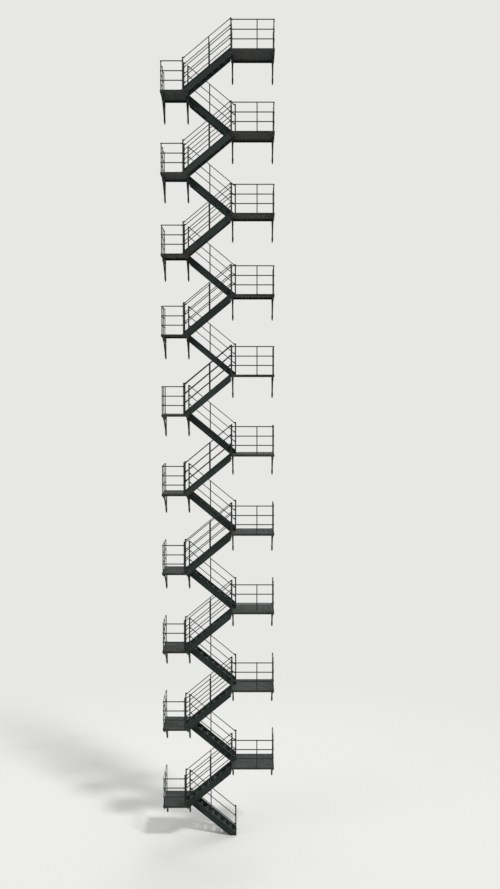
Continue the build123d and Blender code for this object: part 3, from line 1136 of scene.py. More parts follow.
@dataclass
class OpenTreads:
    """Treads of one lane: a nosing angle and flat bars on end angles, bolted to the stringers."""

    lane: Lane
    plan: StairPlan
    finishes: Finishes
    nosing_drop: float = 0.045
    nosing_leg: float = 0.05
    metal: float = 0.008
    edge: float = 0.0015
    bar_count: int = 4
    bar_width: float = 0.041
    carrier_leg: float = 0.04
    carrier_metal: float = 0.006
    carrier_drop: float = 0.05
    carrier_inset: float = 0.02
    carrier_count: int = 3
    stringer_web: float = 0.008
    bolt_places: tuple[float, float] = (0.075, 0.185)
    bolt_drop: float = 0.032
    rivet: RivetSize = RivetSize(radius=0.007, rise=0.0025, sides=6)
    bolt: BoltSize = BoltSize()

    def __post_init__(self) -> None:
        """Work out where the top tread of the lane's lowest flight is, and its depth."""
        self.node = f"{self.lane.value}_flight_treads"
        low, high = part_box(self.node)
        plan = self.plan
        outer = self.lane is Lane.OUTER
        self.way = -1 if outer else 1
        self.front, self.back = low.y, high.y
        head = plan.platform_low.x if outer else plan.landing_high.x
        level = plan.first_platform if outer else plan.first_landing
        self.tread_count = plan.riser_count - 1
        self.nosing = head + self.way * plan.going
        self.top = level - plan.riser
        self.depth = high.x - low.x - plan.going * (self.tread_count - 1)
        self.bar_pitch = (self.depth - self.nosing_leg) / self.bar_count

    def slab(self, name: str, start: float, end: float, low: float, high: float,
             front: float, back: float) -> bpy.types.Object:
        """Block between distances behind the nosing, heights from the tread's top, and places.

        Args:
            name: Name of the object.
            start: Distance of its near end behind the nosing.
            end: Distance of its far end behind the nosing.
            low: Height of its lower face from the tread's top.
            high: Height of its upper face from the tread's top.
            front: Its lowest Y.
            back: Its highest Y.

        Returns:
            The block.
        """
        left, right = sorted((self.nosing - self.way * start, self.nosing - self.way * end))
        return Workshop.block(name, (left, front, self.top + low), (right, back, self.top + high))

    def nosing_angle(self) -> bpy.types.Object:
        """Angle along the front edge: its upright leg, cut, with the level leg pulled out.

        Returns:
            The angle of one tread.
        """
        angle = self.slab(self.node, 0, self.metal, -self.nosing_drop, 0, self.front, self.back)
        cut = self.top - self.metal
        Workshop.cut(angle, (0, 0, cut), (0, 0, 1))
        Workshop.pull(angle, facing((-self.way, 0, 0), lambda middle: middle.z > cut),
                      (-self.way * (self.nosing_leg - self.metal), 0, 0))
        return Workshop.bevel(angle, self.edge, 1, along(Axis.Y))

    def bars(self) -> bpy.types.Object:
        """Flat bars behind the nosing, from stringer to stringer.

        Returns:
            The bars of one tread.
        """
        end = self.nosing_leg + self.bar_pitch
        bar = self.slab("tread_bar", end - self.bar_width, end, -self.metal, 0,
                        self.front, self.back)
        Workshop.bevel(bar, self.edge, 1, along(Axis.Y))
        return Workshop.array(bar, self.bar_count, (-self.way * self.bar_pitch, 0, 0))

    def carriers(self) -> list[bpy.types.Object]:
        """Angles under the bars at both stringers, and a flat bar under their middle.

        Returns:
            The flat bar and both angles of one tread.
        """
        under, leg, metal = -self.metal, self.carrier_leg, self.carrier_metal
        middle = (self.front + self.back) / 2
        flat = self.slab("middle_carrier", self.metal, self.depth, under - metal, under,
                         middle - leg / 2, middle + leg / 2)
        angle = self.slab("end_carrier", self.carrier_inset, self.depth - self.carrier_inset,
                          under - self.carrier_drop, under, self.front, self.front + metal)
        cut = self.top + under - metal
        Workshop.cut(angle, (0, 0, cut), (0, 0, 1))
        Workshop.pull(angle, facing((0, 1, 0), lambda middle: middle.z > cut),
                      (0, leg - metal, 0))
        return [flat, angle, Workshop.mirror(angle, Axis.Y, middle)]

    def rivets(self) -> bpy.types.Object:
        """Low rivets through each bar at its three carriers.

        Returns:
            The rivets of one tread.
        """
        inset = self.carrier_leg / 2
        start = self.nosing_leg + self.bar_pitch - self.bar_width / 2
        place = (self.nosing - self.way * start, self.front + inset, self.top)
        rivet = Hardware.rivet("tread_rivets", place, Way.UP, self.rivet)
        Workshop.array(rivet, self.bar_count, (-self.way * self.bar_pitch, 0, 0))
        across = (self.back - self.front) / 2 - inset
        return Workshop.array(rivet, self.carrier_count, (0, across, 0))

    def down_the_flights(self, piece: bpy.types.Object) -> bpy.types.Object:
        """Repeat a piece at every tread and every storey.

        Args:
            piece: The piece at the top tread of the lowest flight.

        Returns:
            The same piece.
        """
        plan = self.plan
        Workshop.array(piece, self.tread_count, (self.way * plan.going, 0, -plan.riser))
        return Workshop.every_storey(piece, plan)

    def web_bolts(self) -> bpy.types.Object:
        """Bolts of the tread angles, on the far face of each stringer's web.

        Returns:
            The bolts of every tread of the lane.
        """
        bolts = []
        for distance in self.bolt_places:
            x = self.nosing - self.way * distance
            z = self.top - self.bolt_drop
            for y, way in ((self.front - self.stringer_web, Way.FRONT),
                           (self.back + self.stringer_web, Way.BACK)):
                bolts.append(Hardware.bolt("web_bolt", (x, y, z), way, self.bolt))
        return self.down_the_flights(Workshop.join(f"{self.lane.value}_stringer_bolts", bolts))

    def build(self) -> None:
        """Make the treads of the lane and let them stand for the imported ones."""
        parts = [self.nosing_angle(), self.bars(), *self.carriers(), self.rivets()]
        treads = self.down_the_flights(Workshop.join(f"{self.lane.value}_open_treads", parts))
        self.finishes.dress(treads, Slot.TREAD)
        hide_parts(self.node)
        self.finishes.dress(self.web_bolts(), Slot.STRINGER, self.finishes.fastening)


@dataclass(frozen=True)
class Stand:
    """Where a newel stands at the lowest storey, how high it is, and where its plate reaches.

    The plate reaches past the bar on one side in X, on one side in Y, or both. A side is -1
    for left or front, 1 for right or back, and 0 where it doesn't.
    """

    left: float
    front: float
    height: float
    side_x: int
    side_y: int


@dataclass
class Newels:
    """Newel posts of one kind: a rounded bar, a small cap, and a base plate with its bolts."""

    node: str
    plan: StairPlan
    finishes: Finishes
    rounding: float = 0.006
    rounding_steps: int = 2
    cap_height: float = 0.02
    cap_edge: float = 0.008
    cap_overhang: float = 0.003
    cap_rounding: float = 0.002
    cap_point: float = 0.2
    plate: float = 0.008
    plate_reach: float = 0.042
    plate_rounding: float = 0.005
    head_height: float = 1.16
    bolt: BoltSize = BoltSize(across=0.019, washer=0.014, stud=0.005)

    def __post_init__(self) -> None:
        """Take the newels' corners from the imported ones."""
        self.low, self.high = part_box(self.node)
        self.bar = self.plan.newel_bar
        self.height = (self.high.z - self.low.z
                       - self.plan.storey_height * (self.plan.storeys - 1))

    def stands(self) -> list[Stand]:
        """Every newel of this kind at the lowest storey.

        Returns:
            Where each of them stands.
        """
        low, high, bar, tall = self.low, self.high, self.bar, self.height
        if self.node.startswith("platform"):
            return [Stand(low.x, low.y, tall, 1, 1), Stand(low.x, high.y - bar, tall, 1, 1)]
        if self.node.startswith("landing"):
            well = low.y + self.plan.lane_width - bar
            return [Stand(low.x, low.y, tall, -1, 1), Stand(low.x, well, tall, -1, 1),
                    Stand(high.x - bar, high.y - bar, self.head_height, -1, -1)]
        return [Stand(low.x, low.y, tall, 0, 1)]

    def shaft(self, stand: Stand) -> bpy.types.Object:
        """Square bar with its upright edges rounded, from within the plate to within the cap.

        Args:
            stand: Where the newel stands.

        Returns:
            The bar.
        """
        foot = self.low.z + self.plate / 2
        top = self.low.z + stand.height - self.cap_height + self.cap_edge / 2
        bar = Workshop.block("newel_bar", (stand.left, stand.front, foot),
                             (stand.left + self.bar, stand.front + self.bar, top))
        return Workshop.bevel(bar, self.rounding, self.rounding_steps, along(Axis.Z))

    def cap(self, stand: Stand) -> bpy.types.Object:
        """Low pyramid on a thin edge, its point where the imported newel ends.

        Args:
            stand: Where the newel stands.

        Returns:
            The cap.
        """
        foot = self.low.z + stand.height - self.cap_height
        over, far = self.cap_overhang, self.bar + self.cap_overhang
        cap = Workshop.block("newel_cap", (stand.left - over, stand.front - over, foot),
                             (stand.left + far, stand.front + far, foot + self.cap_edge))
        Workshop.bevel(cap, self.cap_rounding, 1, along(Axis.Z))
        Workshop.pull(cap, facing((0, 0, 1)), (0, 0, self.cap_height - self.cap_edge),
                      self.cap_point)
        return cap

    def base(self, stand: Stand) -> bpy.types.Object:
        """Plate under the bar, its corners rounded, which reaches past the bar for its bolts.

        Args:
            stand: Where the newel stands.

        Returns:
            The plate.
        """
        left, right = (self.plate_reach * max(0, way * stand.side_x) for way in (-1, 1))
        front, back = (self.plate_reach * max(0, way * stand.side_y) for way in (-1, 1))
        plate = Workshop.block("newel_base",
                               (stand.left - left, stand.front - front, self.low.z),
                               (stand.left + self.bar + right, stand.front + self.bar + back,
                                self.low.z + self.plate))
        return Workshop.bevel(plate, self.plate_rounding, self.rounding_steps, along(Axis.Z))

    def bolts(self, stand: Stand) -> list[bpy.types.Object]:
        """One bolt in each side of the plate that reaches past the bar.

        Args:
            stand: Where the newel stands.

        Returns:
            The bolts.
        """
        middle_x, middle_y = stand.left + self.bar / 2, stand.front + self.bar / 2
        away = (self.bar + self.plate_reach) / 2
        top = self.low.z + self.plate
        places = []
        if stand.side_x:
            places.append((middle_x + stand.side_x * away, middle_y, top))
        if stand.side_y:
            places.append((middle_x, middle_y + stand.side_y * away, top))
        return [Hardware.bolt("newel_bolt", place, Way.UP, self.bolt) for place in places]

    def build(self) -> None:
        """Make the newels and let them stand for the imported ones."""
        stands = self.stands()
        newels = Workshop.join(f"{self.node}_capped", [
            make(stand) for stand in stands for make in (self.shaft, self.cap, self.base)])
        self.finishes.dress(Workshop.every_storey(newels, self.plan), Slot.RAIL)
        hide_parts(self.node)
        bolts = Workshop.join(f"{self.node}_bolts", [
            bolt for stand in stands for bolt in self.bolts(stand)])
        self.finishes.dress(Workshop.every_storey(bolts, self.plan), Slot.RAIL,
                            self.finishes.fastening)


@dataclass
class RailFastenings:
    """Bolts where one railing's rails cross its posts, tabs behind their ends, and post feet.

    The posts and the ends are places along the railing: its posts' middles, and each end of
    its rails with the way, 1 or -1, that its tab goes from there.
    """

    name: str
    side: Way
    plan: StairPlan
    finishes: Finishes
    posts: Sequence[float]
    ends: Sequence[tuple[float, int]] = ()
    slope: float = 0.0
    post_node: str = ""
    feet: bool = True
    once: bool = False
    rail_width: float = 0.038
    rail_thickness: float = 0.012
    post_depth: float = 0.03
    plate: float = 0.008
    plate_margin: float = 0.03
    plate_inset: float = 0.004
    plate_reach: float = 0.036
    plate_rounding: float = 0.006
    foot_bolt_reach: float = 0.019
    tab_length: float = 0.056
    tab_height: float = 0.05
    tab_thickness: float = 0.006
    tab_corner: float = 0.004
    rivet: RivetSize = RivetSize(radius=0.0105, rise=0.006, sides=10)
    bolt: BoltSize = BoltSize(across=0.018, washer=0.013, stud=0.004)

    def __post_init__(self) -> None:
        """Take the rails' outer face and the posts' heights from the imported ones."""
        low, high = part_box(f"{self.name}_rails")
        self.post_low, self.post_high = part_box(self.post_node or f"{self.name}_posts")
        self.face = {Way.FRONT: low.y, Way.BACK: high.y, Way.LEFT: low.x,
                     Way.RIGHT: high.x}[self.side]
        self.storeys = 1 if self.once else self.plan.storeys

    def place(self, along_it: float, across_it: float, height: float) -> Point:
        """Turn places along and across the railing, and a height, into a point.

        Args:
            along_it: Place along the railing.
            across_it: Place across it.
            height: Height.

        Returns:
            The point.
        """
        if self.side in (Way.FRONT, Way.BACK):
            return along_it, across_it, height
        return across_it, along_it, height

    def inward(self, distance: float) -> float:
        """Place at a distance behind the rails' outer face."""
        return self.face + (distance if self.side in (Way.FRONT, Way.LEFT) else -distance)

    def heights(self, place: float) -> list[float]:
        """Middles of the three rails at a place along the railing, at its lowest storey.

        Args:
            place: Place along the railing.

        Returns:
            The heights, from the top rail down.
        """
        top = self.post_high.z - self.plan.storey_height * (self.storeys - 1)
        if self.slope:
            across = self.post_high.x - self.post_low.x
            top += self.slope * (place - self.posts[0]) - abs(self.slope) * across / 2
        return [top - drop - self.rail_width / 2 for drop in self.plan.rail_drops]

    def bolts(self) -> bpy.types.Object:
        """Domed heads on the outer face of each rail, at its posts and at its ends.

        Returns:
            The heads of one storey.
        """
        places = [*self.posts, *(end + way * self.tab_length / 2 for end, way in self.ends)]
        heads = [Hardware.rivet("rail_bolt", self.place(place, self.face, height),
                                self.side, self.rivet)
                 for place in places for height in self.heights(place)]
        return Workshop.join(f"{self.name}_bolts", heads)

    def tabs(self) -> bpy.types.Object:
        """Tabs on the newels behind the rails' ends.

        Returns:
            The tabs of one storey.
        """
        tabs = []
        near, far = sorted((self.inward(self.rail_thickness),
                            self.inward(self.rail_thickness + self.tab_thickness)))
        for end, way in self.ends:
            left, right = sorted((end, end + way * self.tab_length))
            for height in self.heights((left + right) / 2):
                tab = Workshop.block("rail_tab", (left, near, height - self.tab_height / 2),
                                     (right, far, height + self.tab_height / 2))
                tabs.append(Workshop.bevel(tab, self.tab_corner, 1, along(Axis.Y)))
        return Workshop.join(f"{self.name}_tabs", tabs)

    def foot_plates(self) -> bpy.types.Object:
        """Plates under the posts, rounded at their corners.

        Returns:
            The plates of one storey.
        """
        low = self.post_low.z
        near, far = sorted((self.inward(self.plate_inset),
                            self.inward(self.rail_thickness + self.post_depth
                                        + self.plate_reach)))
        plates = []
        for post in self.posts:
            plate = Workshop.block("post_foot", self.place(post - self.plate_margin, near, low),
                                   self.place(post + self.plate_margin, far, low + self.plate))
            plates.append(Workshop.bevel(plate, self.plate_rounding, 2, along(Axis.Z)))
        return Workshop.join(f"{self.name}_post_feet", plates)

    def foot_bolts(self) -> bpy.types.Object:
        """A bolt through each foot plate, behind its post.

        Returns:
            The bolts of one storey.
        """
        away = self.inward(self.rail_thickness + self.post_depth + self.foot_bolt_reach)
        top = self.post_low.z + self.plate
        bolts = [Hardware.bolt("foot_bolt", self.place(post, away, top), Way.UP, self.bolt)
                 for post in self.posts]
        return Workshop.join(f"{self.name}_foot_bolts", bolts)

    def finish(self, piece: bpy.types.Object,
               material: Optional[bpy.types.Material] = None) -> None:
        """Repeat a piece at every storey that has this railing, and finish it.

        Args:
            piece: The piece at the railing's lowest storey.
            material: Its material, where it isn't the rails' paint.
        """
        if self.storeys > 1:
            Workshop.every_storey(piece, self.plan)
        self.finishes.dress(piece, Slot.RAIL, material)

    def build(self) -> None:
        """Make the railing's fastenings."""
        self.finish(self.bolts(), self.finishes.fastening)
        if self.ends:
            self.finish(self.tabs())
        if self.feet:
            self.finish(self.foot_plates())
            self.finish(self.foot_bolts(), self.finishes.fastening)


def post_middles(node: str, axis: Axis, count: int = 2, half: float = 0.019) -> list[float]:
    """Middles of a node's first and last posts along an axis, or of the first alone.

    Args:
        node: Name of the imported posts.
        axis: The axis.
        count: How many middles to give, 1 or 2.
        half: Half a post's width.

    Returns:
        The middles, from the lowest.
    """
    low, high = (corner[axis.value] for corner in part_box(node))
    return [low + half, high - half][:count]


@dataclass
class StringerEnds:
    """Angle cleats that hold one stringer at its head and its foot, with their bolts."""

    node: str
    plan: StairPlan
    finishes: Finishes
    leg: float = 0.07
    metal: float = 0.008
    edge: float = 0.0015
    frame_depth: float = 0.075
    foot_leg: float = 0.038
    foot_start: float = 0.015
    foot_length: float = 0.12
    head_bolt_inset: float = 0.02
    foot_bolt_shares: tuple[float, float] = (0.22, 0.78)
    bolt: BoltSize = BoltSize(across=0.02, washer=0.0145)

    def __post_init__(self) -> None:
        """Find the web's flat face and the flight's ends."""
        plan = self.plan
        low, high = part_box(self.node)
        outer = self.node.startswith("outer")
        flanges_front = "front" in self.node or self.node == "inner_flight_well_stringers"
        self.face = high.y if flanges_front else low.y
        self.inward = 1 if flanges_front else -1
        self.way = -1 if outer else 1
        self.head = plan.platform_low.x if outer else plan.landing_high.x
        self.foot = plan.landing_high.x if outer else plan.platform_low.x
        self.head_level = plan.first_platform if outer else plan.first_landing
        self.foot_level = self.head_level - plan.storey_height / 2

    def off_web(self, distance: float) -> float:
        """Place at a distance from the web's flat face, on its open side."""
        return self.face + self.inward * distance

    def slab(self, name: str, start: float, end: float, low: float,
             high: float) -> bpy.types.Object:
        """Leg of an angle that lies flat on the web.

        Args:
            name: Name of the object.
            start: One of its ends along the flight.
            end: Its other end along the flight.
            low: Height of its lower edge.
            high: Height of its upper edge.

        Returns:
            The leg.
        """
        left, right = sorted((start, end))
        front, back = sorted((self.face, self.off_web(self.metal)))
        return Workshop.block(name, (left, front, low), (right, back, high))

    def grow(self, leg: bpy.types.Object, cut: Point, normal: Point,
             where: Callable[[Vector], bool], reach: float) -> bpy.types.Object:
        """Cut a leg across, and pull a second leg out of one of its two strips.

        Args:
            leg: The leg on the web.
            cut: A point on the plane between the strips.
            normal: The plane's normal.
            where: Test of a face's middle, for the strip that the second leg comes from.
            reach: How far the second leg ends from the web.

        Returns:
            The angle, its edges bevelled.
        """
        Workshop.cut(leg, cut, normal)
        Workshop.pull(leg, facing((0, self.inward, 0), where),
                      (0, self.inward * (reach - self.metal), 0))
        return Workshop.bevel(leg, self.edge)

    def head_cleat(self) -> bpy.types.Object:
        """Angle between the web and the bar across the deck's end.

        Returns:
            The angle of the lowest storey.
        """
        top = self.head_level - self.plan.floor_thickness
        cut = self.head + self.way * self.metal
        leg = self.slab("head_cleat", self.head, self.head + self.way * self.leg,
                        top - self.frame_depth, top)
        return self.grow(leg, (cut, 0, 0), (1, 0, 0),
                         lambda middle: (middle.x - cut) * self.way < 0, self.leg)

    def foot_cleat(self) -> bpy.types.Object:
        """Angle between the web and the deck that the foot stands on.

        Returns:
            The angle of the lowest storey.
        """
        start = self.foot + self.way * self.foot_start
        cut = self.foot_level + self.metal
        leg = self.slab("foot_cleat", start, start + self.way * self.foot_length,
                        self.foot_level, self.foot_level + self.foot_leg)
        return self.grow(leg, (0, 0, cut), (0, 0, 1), lambda middle: middle.z < cut,
                         self.foot_leg)

    def bolts(self) -> list[bpy.types.Object]:
        """Bolts through both legs of both angles.

        Returns:
            The bolts of the lowest storey.
        """
        off_web = Way.BACK if self.inward > 0 else Way.FRONT
        off_head = Way.LEFT if self.way < 0 else Way.RIGHT
        web = self.off_web(self.metal)
        top = self.head_level - self.plan.floor_thickness
        on_leg = (self.leg + self.metal) / 2
        on_foot_leg = (self.foot_leg + self.metal) / 2
        places = []
        for drop in (self.head_bolt_inset, self.frame_depth - self.head_bolt_inset):
            places.append(((self.head + self.way * on_leg, web, top - drop), off_web))
            places.append(((self.head + self.way * self.metal, self.off_web(on_leg),
                            top - drop), off_head))
        for share in self.foot_bolt_shares:
            x = self.foot + self.way * (self.foot_start + share * self.foot_length)
            places.append(((x, web, self.foot_level + on_foot_leg), off_web))
            places.append(((x, self.off_web(on_foot_leg), self.foot_level + self.metal), Way.UP))
        return [Hardware.bolt("cleat_bolt", place, way, self.bolt) for place, way in places]

    def build(self) -> None:
        """Make the cleats and bolts of this stringer at every storey."""
        cleats = Workshop.join(f"{self.node}_cleats", [self.head_cleat(), self.foot_cleat()])
        bolts = Workshop.join(f"{self.node}_cleat_bolts", self.bolts())
        self.finishes.dress(Workshop.every_storey(cleats, self.plan), Slot.STRINGER)
        self.finishes.dress(Workshop.every_storey(bolts, self.plan), Slot.STRINGER,
                            self.finishes.fastening)


@dataclass
class WallBrackets:
    """Gussets, rivets and wall fastenings of the brackets under one kind of deck.

    Each bracket has gussets at the strut's head, the arm's root and the strut's foot, on
    both of its sides. They are made at the lowest left bracket.
    """

    # Rivets at the strut's head, in the arm and in the strut: places behind the head, and
    # for the strut's the place along it and the height above it.
    HEAD_RIVETS = (0.005, 0.17)
    STRUT_RIVETS = ((0.075, 0.075, 0.012), (0.17, 0.2, 0.03))
    # Rivets at the arm's root and the strut's foot: places, and at the foot heights above it.
    ROOT_RIVETS = (-0.12, -0.045)
    FOOT_RIVETS = ((-0.045, 0.05), (-0.11, 0.095))

    deck: Deck
    plan: StairPlan
    finishes: Finishes
    width: float = 0.05
    metal: float = 0.006
    edge: float = 0.0012
    corner_cut: float = 0.06
    plate_thickness: float = 0.012
    arm_height: float = 0.05
    strut_reach: float = 1.15
    strut_drop: float = 0.7
    gusset_below_top: float = 0.008
    head_front: float = 0.03
    head_back: float = 0.2
    head_depth: float = 0.1
    root_reach: float = 0.15
    root_depth: float = 0.11
    foot_reach: float = 0.16
    foot_below: float = 0.02
    foot_above: float = 0.13
    bolt_below_arm: float = 0.07
    lower_head_height: float = 0.035
    rivet: RivetSize = RivetSize(radius=0.0105, rise=0.0065, sides=9)
    wall_head: RivetSize = RivetSize(radius=0.015, rise=0.009, sides=12)
    wall_nut: BoltSize = BoltSize(across=0.036, washer=0.0235, stud=0.022)

    def __post_init__(self) -> None:
        """Take the brackets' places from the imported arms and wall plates."""
        low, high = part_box(f"{self.deck.value}_bracket_arms")
        self.left, self.right = low.x, high.x
        self.arm_bottom = low.z
        self.strut_foot = low.z - self.strut_drop
        self.plate_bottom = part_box(f"{self.deck.value}_wall_plates")[0].z

    def gusset(self, front: float, back: float, low: float, high: float) -> bpy.types.Object:
        """Plate on the bracket's left side, its lower front corner cut off.

        Args:
            front: Its lowest Y.
            back: Its highest Y.
            low: Height of its lower edge.
            high: Height of its upper edge.

        Returns:
            The plate, its edges bevelled.
        """
        plate = Workshop.block("gusset", (self.left - self.metal, front, low),
                               (self.left, back, high))

        def corner(edge: Any, mesh: bpy.types.Mesh) -> bool:
            """Whether the edge is the lower front one."""
            ends = [mesh.vertices[vertex].co for vertex in edge.vertices]
            return all(end.y < front + NEAR and end.z < low + NEAR for end in ends)

        Workshop.bevel(plate, self.corner_cut, 1, corner)
        return Workshop.bevel(plate, self.edge)

    def gussets(self) -> list[bpy.types.Object]:
        """Gussets at the strut's head, at the arm's root and at the strut's foot.

        Returns:
            The three gussets of the bracket's left side.
        """
        arm, foot, head = self.arm_bottom, self.strut_foot, -self.strut_reach
        top = arm + self.arm_height - self.gusset_below_top
        back = -self.plate_thickness
        return [
            self.gusset(head - self.head_front, head + self.head_back,
                        arm - self.head_depth, top),
            self.gusset(-self.root_reach, back, arm - self.root_depth, top),
            self.gusset(-self.foot_reach, back, foot - self.foot_below, foot + self.foot_above),
        ]

    def rivets(self) -> list[bpy.types.Object]:
        """Domed heads on the left face of the left gussets.

        Returns:
            The heads of the bracket's left side.
        """
        arm, head = self.arm_bottom, -self.strut_reach
        middle = arm + self.arm_height / 2
        slope = self.strut_drop / (self.strut_reach - self.plate_thickness)
        left = self.left - self.metal
        places = [
            *((head + y, middle) for y in self.HEAD_RIVETS),
            *((head + y, arm - slope * run + rise) for y, run, rise in self.STRUT_RIVETS),
            *((y, middle) for y in self.ROOT_RIVETS),
            *((y, self.strut_foot + rise) for y, rise in self.FOOT_RIVETS),
        ]
        return [Hardware.rivet("gusset_rivet", (left, y, z), Way.LEFT, self.rivet)
                for y, z in places]

    def wall_fastenings(self) -> list[bpy.types.Object]:
        """Nuts on the platforms' wall bolts, or the landings' plain domed heads.

        Returns:
            The nut or the two heads of one bracket.
        """
        face = -self.plate_thickness
        middle = self.left + self.width / 2
        height = self.arm_bottom - self.bolt_below_arm
        if self.deck is Deck.PLATFORM:
            return [Hardware.bolt("wall_nut", (middle, face, height), Way.FRONT, self.wall_nut)]
        return [Hardware.rivet("wall_head", (middle, face, z), Way.FRONT, self.wall_head)
                for z in (height, self.plate_bottom + self.lower_head_height)]

    def on_both_sides(self, parts: Sequence[bpy.types.Object]) -> bpy.types.Object:
        """Join parts and mirror them to the bracket's right side.

        Args:
            parts: The parts of the left side.

        Returns:
            The parts of both sides, as one object.
        """
        one = Workshop.join("bracket_side", parts)
        twin = Workshop.mirror(one, Axis.X, self.left + self.width / 2)
        return Workshop.join("bracket_sides", [one, twin])

    def finish(self, ending: str, piece: bpy.types.Object,
               material: Optional[bpy.types.Material] = None) -> None:
        """Repeat a piece at both brackets of every storey, and name and finish it.

        Args:
            ending: End of its name, after its deck's.
            piece: The piece at the lowest left bracket.
            material: Its material, where it isn't the brackets' paint.
        """
        Workshop.array(piece, 2, (self.right - self.left - self.width, 0, 0))
        Workshop.every_storey(piece, self.plan)
        piece.name = f"{self.deck.value}_bracket_{ending}"
        piece.data.name = piece.name
        self.finishes.dress(piece, Slot.BRACKET, material)

    def build(self) -> None:
        """Make what the brackets carry."""
        steel = self.finishes.fastening
        self.finish("gussets", self.on_both_sides(self.gussets()))
        self.finish("rivets", self.on_both_sides(self.rivets()), steel)
        fastenings = Workshop.join("wall_fastenings", self.wall_fastenings())
        self.finish("wall_fastenings", fastenings, steel)


@dataclass
class FootAnchors:
    """Nuts and studs of the two anchors in the foot plate."""

    finishes: Finishes
    inset: float = 0.11
    nut: BoltSize = BoltSize(across=0.028, washer=0.019, stud=0.016)

    def build(self) -> None:
        """Make the anchors' nuts on the plate's top face."""
        low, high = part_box("foot_plate")
        middle = (low.x + high.x) / 2
        nuts = [Hardware.bolt("anchor_nut", (middle, y, high.z), Way.UP, self.nut)
                for y in (low.y + self.inset, high.y - self.inset)]
        self.finishes.dress(Workshop.join("foot_anchors", nuts), Slot.BRACKET,
                            self.finishes.fastening)


@dataclass(frozen=True)
class PhotoView:
    """The photograph's camera, from where the platforms' front edges lie in it.

    Sizes and places in the picture are in pixels, the pitch is in radians downwards.
    """

    frame_width: int = 500
    frame_height: int = 889
    focal_pixels: float = 1084.0
    pitch: float = 0.0569
    horizon_row: float = 388.0
    middle_column: float = 250.0
    stand_back: float = 43.75
    stand_right: float = 0.69
    eye_height: float = 15.481
    sensor: float = 36.0
    clip_end: float = 500.0

    def build(self) -> None:
        """Make the camera and use it."""
        centre_row = self.horizon_row + self.focal_pixels * math.tan(self.pitch)
        data = bpy.data.cameras.new("photo_camera")
        data.sensor_fit = "AUTO"
        data.sensor_width = self.sensor
        data.lens = self.focal_pixels * self.sensor / self.frame_height
        data.shift_y = (centre_row - self.frame_height / 2) / self.frame_height
        data.shift_x = (self.frame_width / 2 - self.middle_column) / self.frame_height
        data.clip_end = self.clip_end
        camera = bpy.data.objects.new("photo_camera", data)
        bpy.context.collection.objects.link(camera)
        camera.location = (self.stand_right, -self.stand_back, self.eye_height)
        camera.rotation_euler = (math.pi / 2 - self.pitch, 0.0, 0.0)
        bpy.context.scene.camera = camera


@dataclass(frozen=True)
class SunLamp:
    """One sun lamp: its strength, and its softness, tilt and turn in degrees.

    The softness is its angle across, and the tilt its height above the horizon. The turn
    says where it stands, from straight in front towards the right.
    """

    name: str
    strength: float
    softness: float
    tilt: float
    turn: float

    def build(self) -> None:
        """Make the lamp."""
        data = bpy.data.lights.new(self.name, "SUN")
        data.energy = self.strength
        data.angle = math.radians(self.softness)
        lamp = bpy.data.objects.new(self.name, data)
        bpy.context.collection.objects.link(lamp)
        height, side = math.radians(self.tilt), math.radians(self.turn)
        source = Vector((math.sin(side) * math.cos(height), -math.cos(side) * math.cos(height),
                         math.sin(height)))
        lamp.rotation_euler = source.to_track_quat("Z", "Y").to_euler()


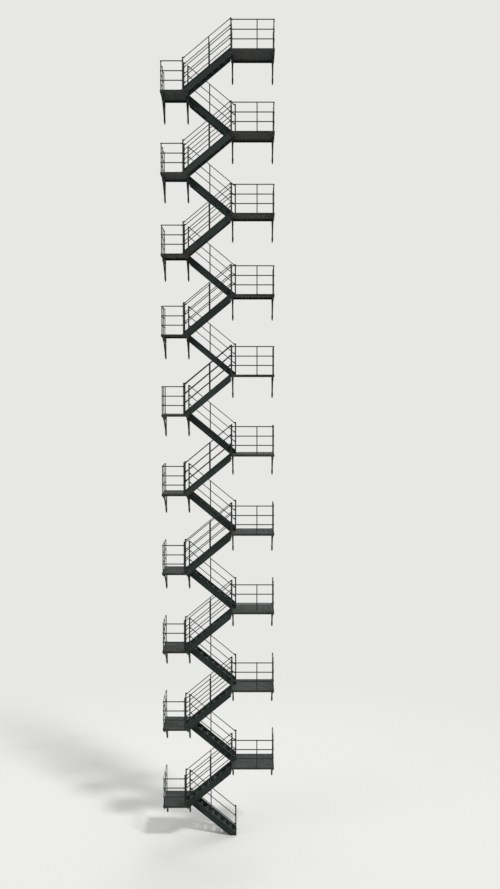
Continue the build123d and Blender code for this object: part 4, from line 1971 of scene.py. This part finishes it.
@dataclass(frozen=True)
class Studio:
    """Pale floor that fades into a pale world, and soft lamps."""

    LAMPS = (
        SunLamp("key_lamp", strength=1.9, softness=8.0, tilt=48.0, turn=38.0),
        SunLamp("fill_lamp", strength=0.55, softness=40.0, tilt=25.0, turn=-50.0),
        SunLamp("rim_lamp", strength=0.8, softness=30.0, tilt=35.0, turn=165.0),
    )

    ground: float
    backdrop: Colour = (0.80, 0.80, 0.785)
    floor_colour: Colour = (0.74, 0.74, 0.725)
    floor_radius: float = 90.0
    floor_sides: int = 96
    fade_start: float = 7.0
    fade_end: float = 26.0
    world_light: float = 0.62

    def world(self) -> None:
        """Pale world for the camera and glossy rays, soft plain light for the rest."""
        world = bpy.data.worlds.new("studio_world")
        world.use_nodes = True
        nodes = world.node_tree.nodes
        links = world.node_tree.links
        nodes.clear()
        path = nodes.new("ShaderNodeLightPath")
        shown = nodes.new("ShaderNodeBackground")
        shown.inputs["Color"].default_value = (*self.backdrop, 1.0)
        light = nodes.new("ShaderNodeBackground")
        light.inputs["Strength"].default_value = self.world_light
        either = nodes.new("ShaderNodeMath")
        either.operation = "MAXIMUM"
        blend = nodes.new("ShaderNodeMixShader")
        out = nodes.new("ShaderNodeOutputWorld")
        links.new(path.outputs["Is Camera Ray"], either.inputs[0])
        links.new(path.outputs["Is Glossy Ray"], either.inputs[1])
        links.new(either.outputs[0], blend.inputs[0])
        links.new(light.outputs[0], blend.inputs[1])
        links.new(shown.outputs[0], blend.inputs[2])
        links.new(blend.outputs[0], out.inputs[0])
        bpy.context.scene.world = world

    def floor(self) -> None:
        """Round floor that keeps the stair's shadow near its foot and fades out round it."""
        Workshop.deselect()
        bpy.ops.mesh.primitive_circle_add(vertices=self.floor_sides, radius=self.floor_radius,
                                          fill_type="NGON", location=(0, 0, self.ground))
        floor = Workshop.settle(bpy.context.object)
        floor.name = "studio_floor"
        tree = ShaderTree("studio_floor")
        split = tree.node("ShaderNodeSeparateXYZ", None, {0: tree.place()})
        x, y = Value(tree, split.outputs[0]), Value(tree, split.outputs[1])
        away = (x * x + y * y).root()
        plain = tree.node("ShaderNodeBsdfDiffuse", None, {"Color": (*self.floor_colour, 1.0)})
        glow = tree.node("ShaderNodeEmission", None, {"Color": (*self.backdrop, 1.0)})
        camera = Value(tree, tree.node("ShaderNodeLightPath").outputs["Is Camera Ray"])
        fade = away.above(self.fade_start, self.fade_end) * camera
        mix = tree.node("ShaderNodeMixShader", None,
                        {0: fade, 1: plain.outputs[0], 2: glow.outputs[0]})
        floor.data.materials.append(tree.surface(mix.outputs[0]))

    def build(self) -> None:
        """Make the floor, the world and the lamps."""
        self.floor()
        self.world()
        for lamp in self.LAMPS:
            lamp.build()
        bpy.context.scene.view_settings.view_transform = "Standard"


def railings(plan: StairPlan, finishes: Finishes) -> list[RailFastenings]:
    """Every railing of the stair, with its posts, its rail ends and the way it looks.

    Args:
        plan: The stair's plan.
        finishes: The stair's finishes.

    Returns:
        The railings' fastenings, not built yet.
    """
    head, foot = plan.platform_low.x, plan.landing_high.x
    newel, seat, rake = plan.newel_bar, plan.seat, plan.slope
    return [
        RailFastenings("platform_front", Way.FRONT, plan, finishes,
                       post_middles("platform_front_posts", Axis.X), ends=((head + newel, 1),)),
        RailFastenings("platform_end", Way.RIGHT, plan, finishes,
                       post_middles("platform_end_posts", Axis.Y)),
        RailFastenings("landing_front", Way.FRONT, plan, finishes,
                       post_middles("landing_corner_posts", Axis.X, 1),
                       post_node="landing_corner_posts", ends=((foot - seat - newel, -1),)),
        RailFastenings("landing_end", Way.LEFT, plan, finishes,
                       post_middles("landing_end_posts", Axis.Y)),
        RailFastenings("top_guard", Way.LEFT, plan, finishes,
                       post_middles("top_guard_posts", Axis.Y), once=True),
        RailFastenings("outer_flight_front", Way.FRONT, plan, finishes,
                       post_middles("outer_flight_front_posts", Axis.X, 1), slope=rake, feet=False,
                       ends=((foot - seat, 1), (head, -1))),
        RailFastenings("outer_flight_well", Way.BACK, plan, finishes,
                       post_middles("outer_flight_well_posts", Axis.X, 1), slope=rake, feet=False,
                       ends=((foot - seat, 1), (head, -1))),
        RailFastenings("inner_flight_well", Way.FRONT, plan, finishes,
                       post_middles("inner_flight_well_posts", Axis.X, 1), slope=-rake, feet=False,
                       ends=((foot, 1), (head + seat, -1))),
    ]


def main() -> None:
    """Load the frame, dress it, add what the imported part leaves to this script, and light it."""
    logging.basicConfig(level=logging.INFO, format="%(name)s: %(message)s")
    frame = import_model()
    plan = StairPlan.from_frame(frame["record"])
    finishes = Finishes(plan)
    finishes.dress_nodes(frame)
    for deck in Deck:
        BarFloor(deck, plan, finishes).build()
        WallBrackets(deck, plan, finishes).build()
    for lane in Lane:
        OpenTreads(lane, plan, finishes).build()
    for node in ("outer_flight_front_stringers", "outer_flight_well_stringers",
                 "inner_flight_well_stringers", "inner_flight_wall_stringers"):
        StringerEnds(node, plan, finishes).build()
    for node in ("platform_newel_posts", "landing_newel_posts", "inner_flight_foot_newels"):
        Newels(node, plan, finishes).build()
    for railing in railings(plan, finishes):
        railing.build()
    FootAnchors(finishes).build()
    PhotoView().build()
    Studio(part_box("foot_plate")[0].z).build()
    Workshop.deselect()


if __name__ == "__main__":
    main()
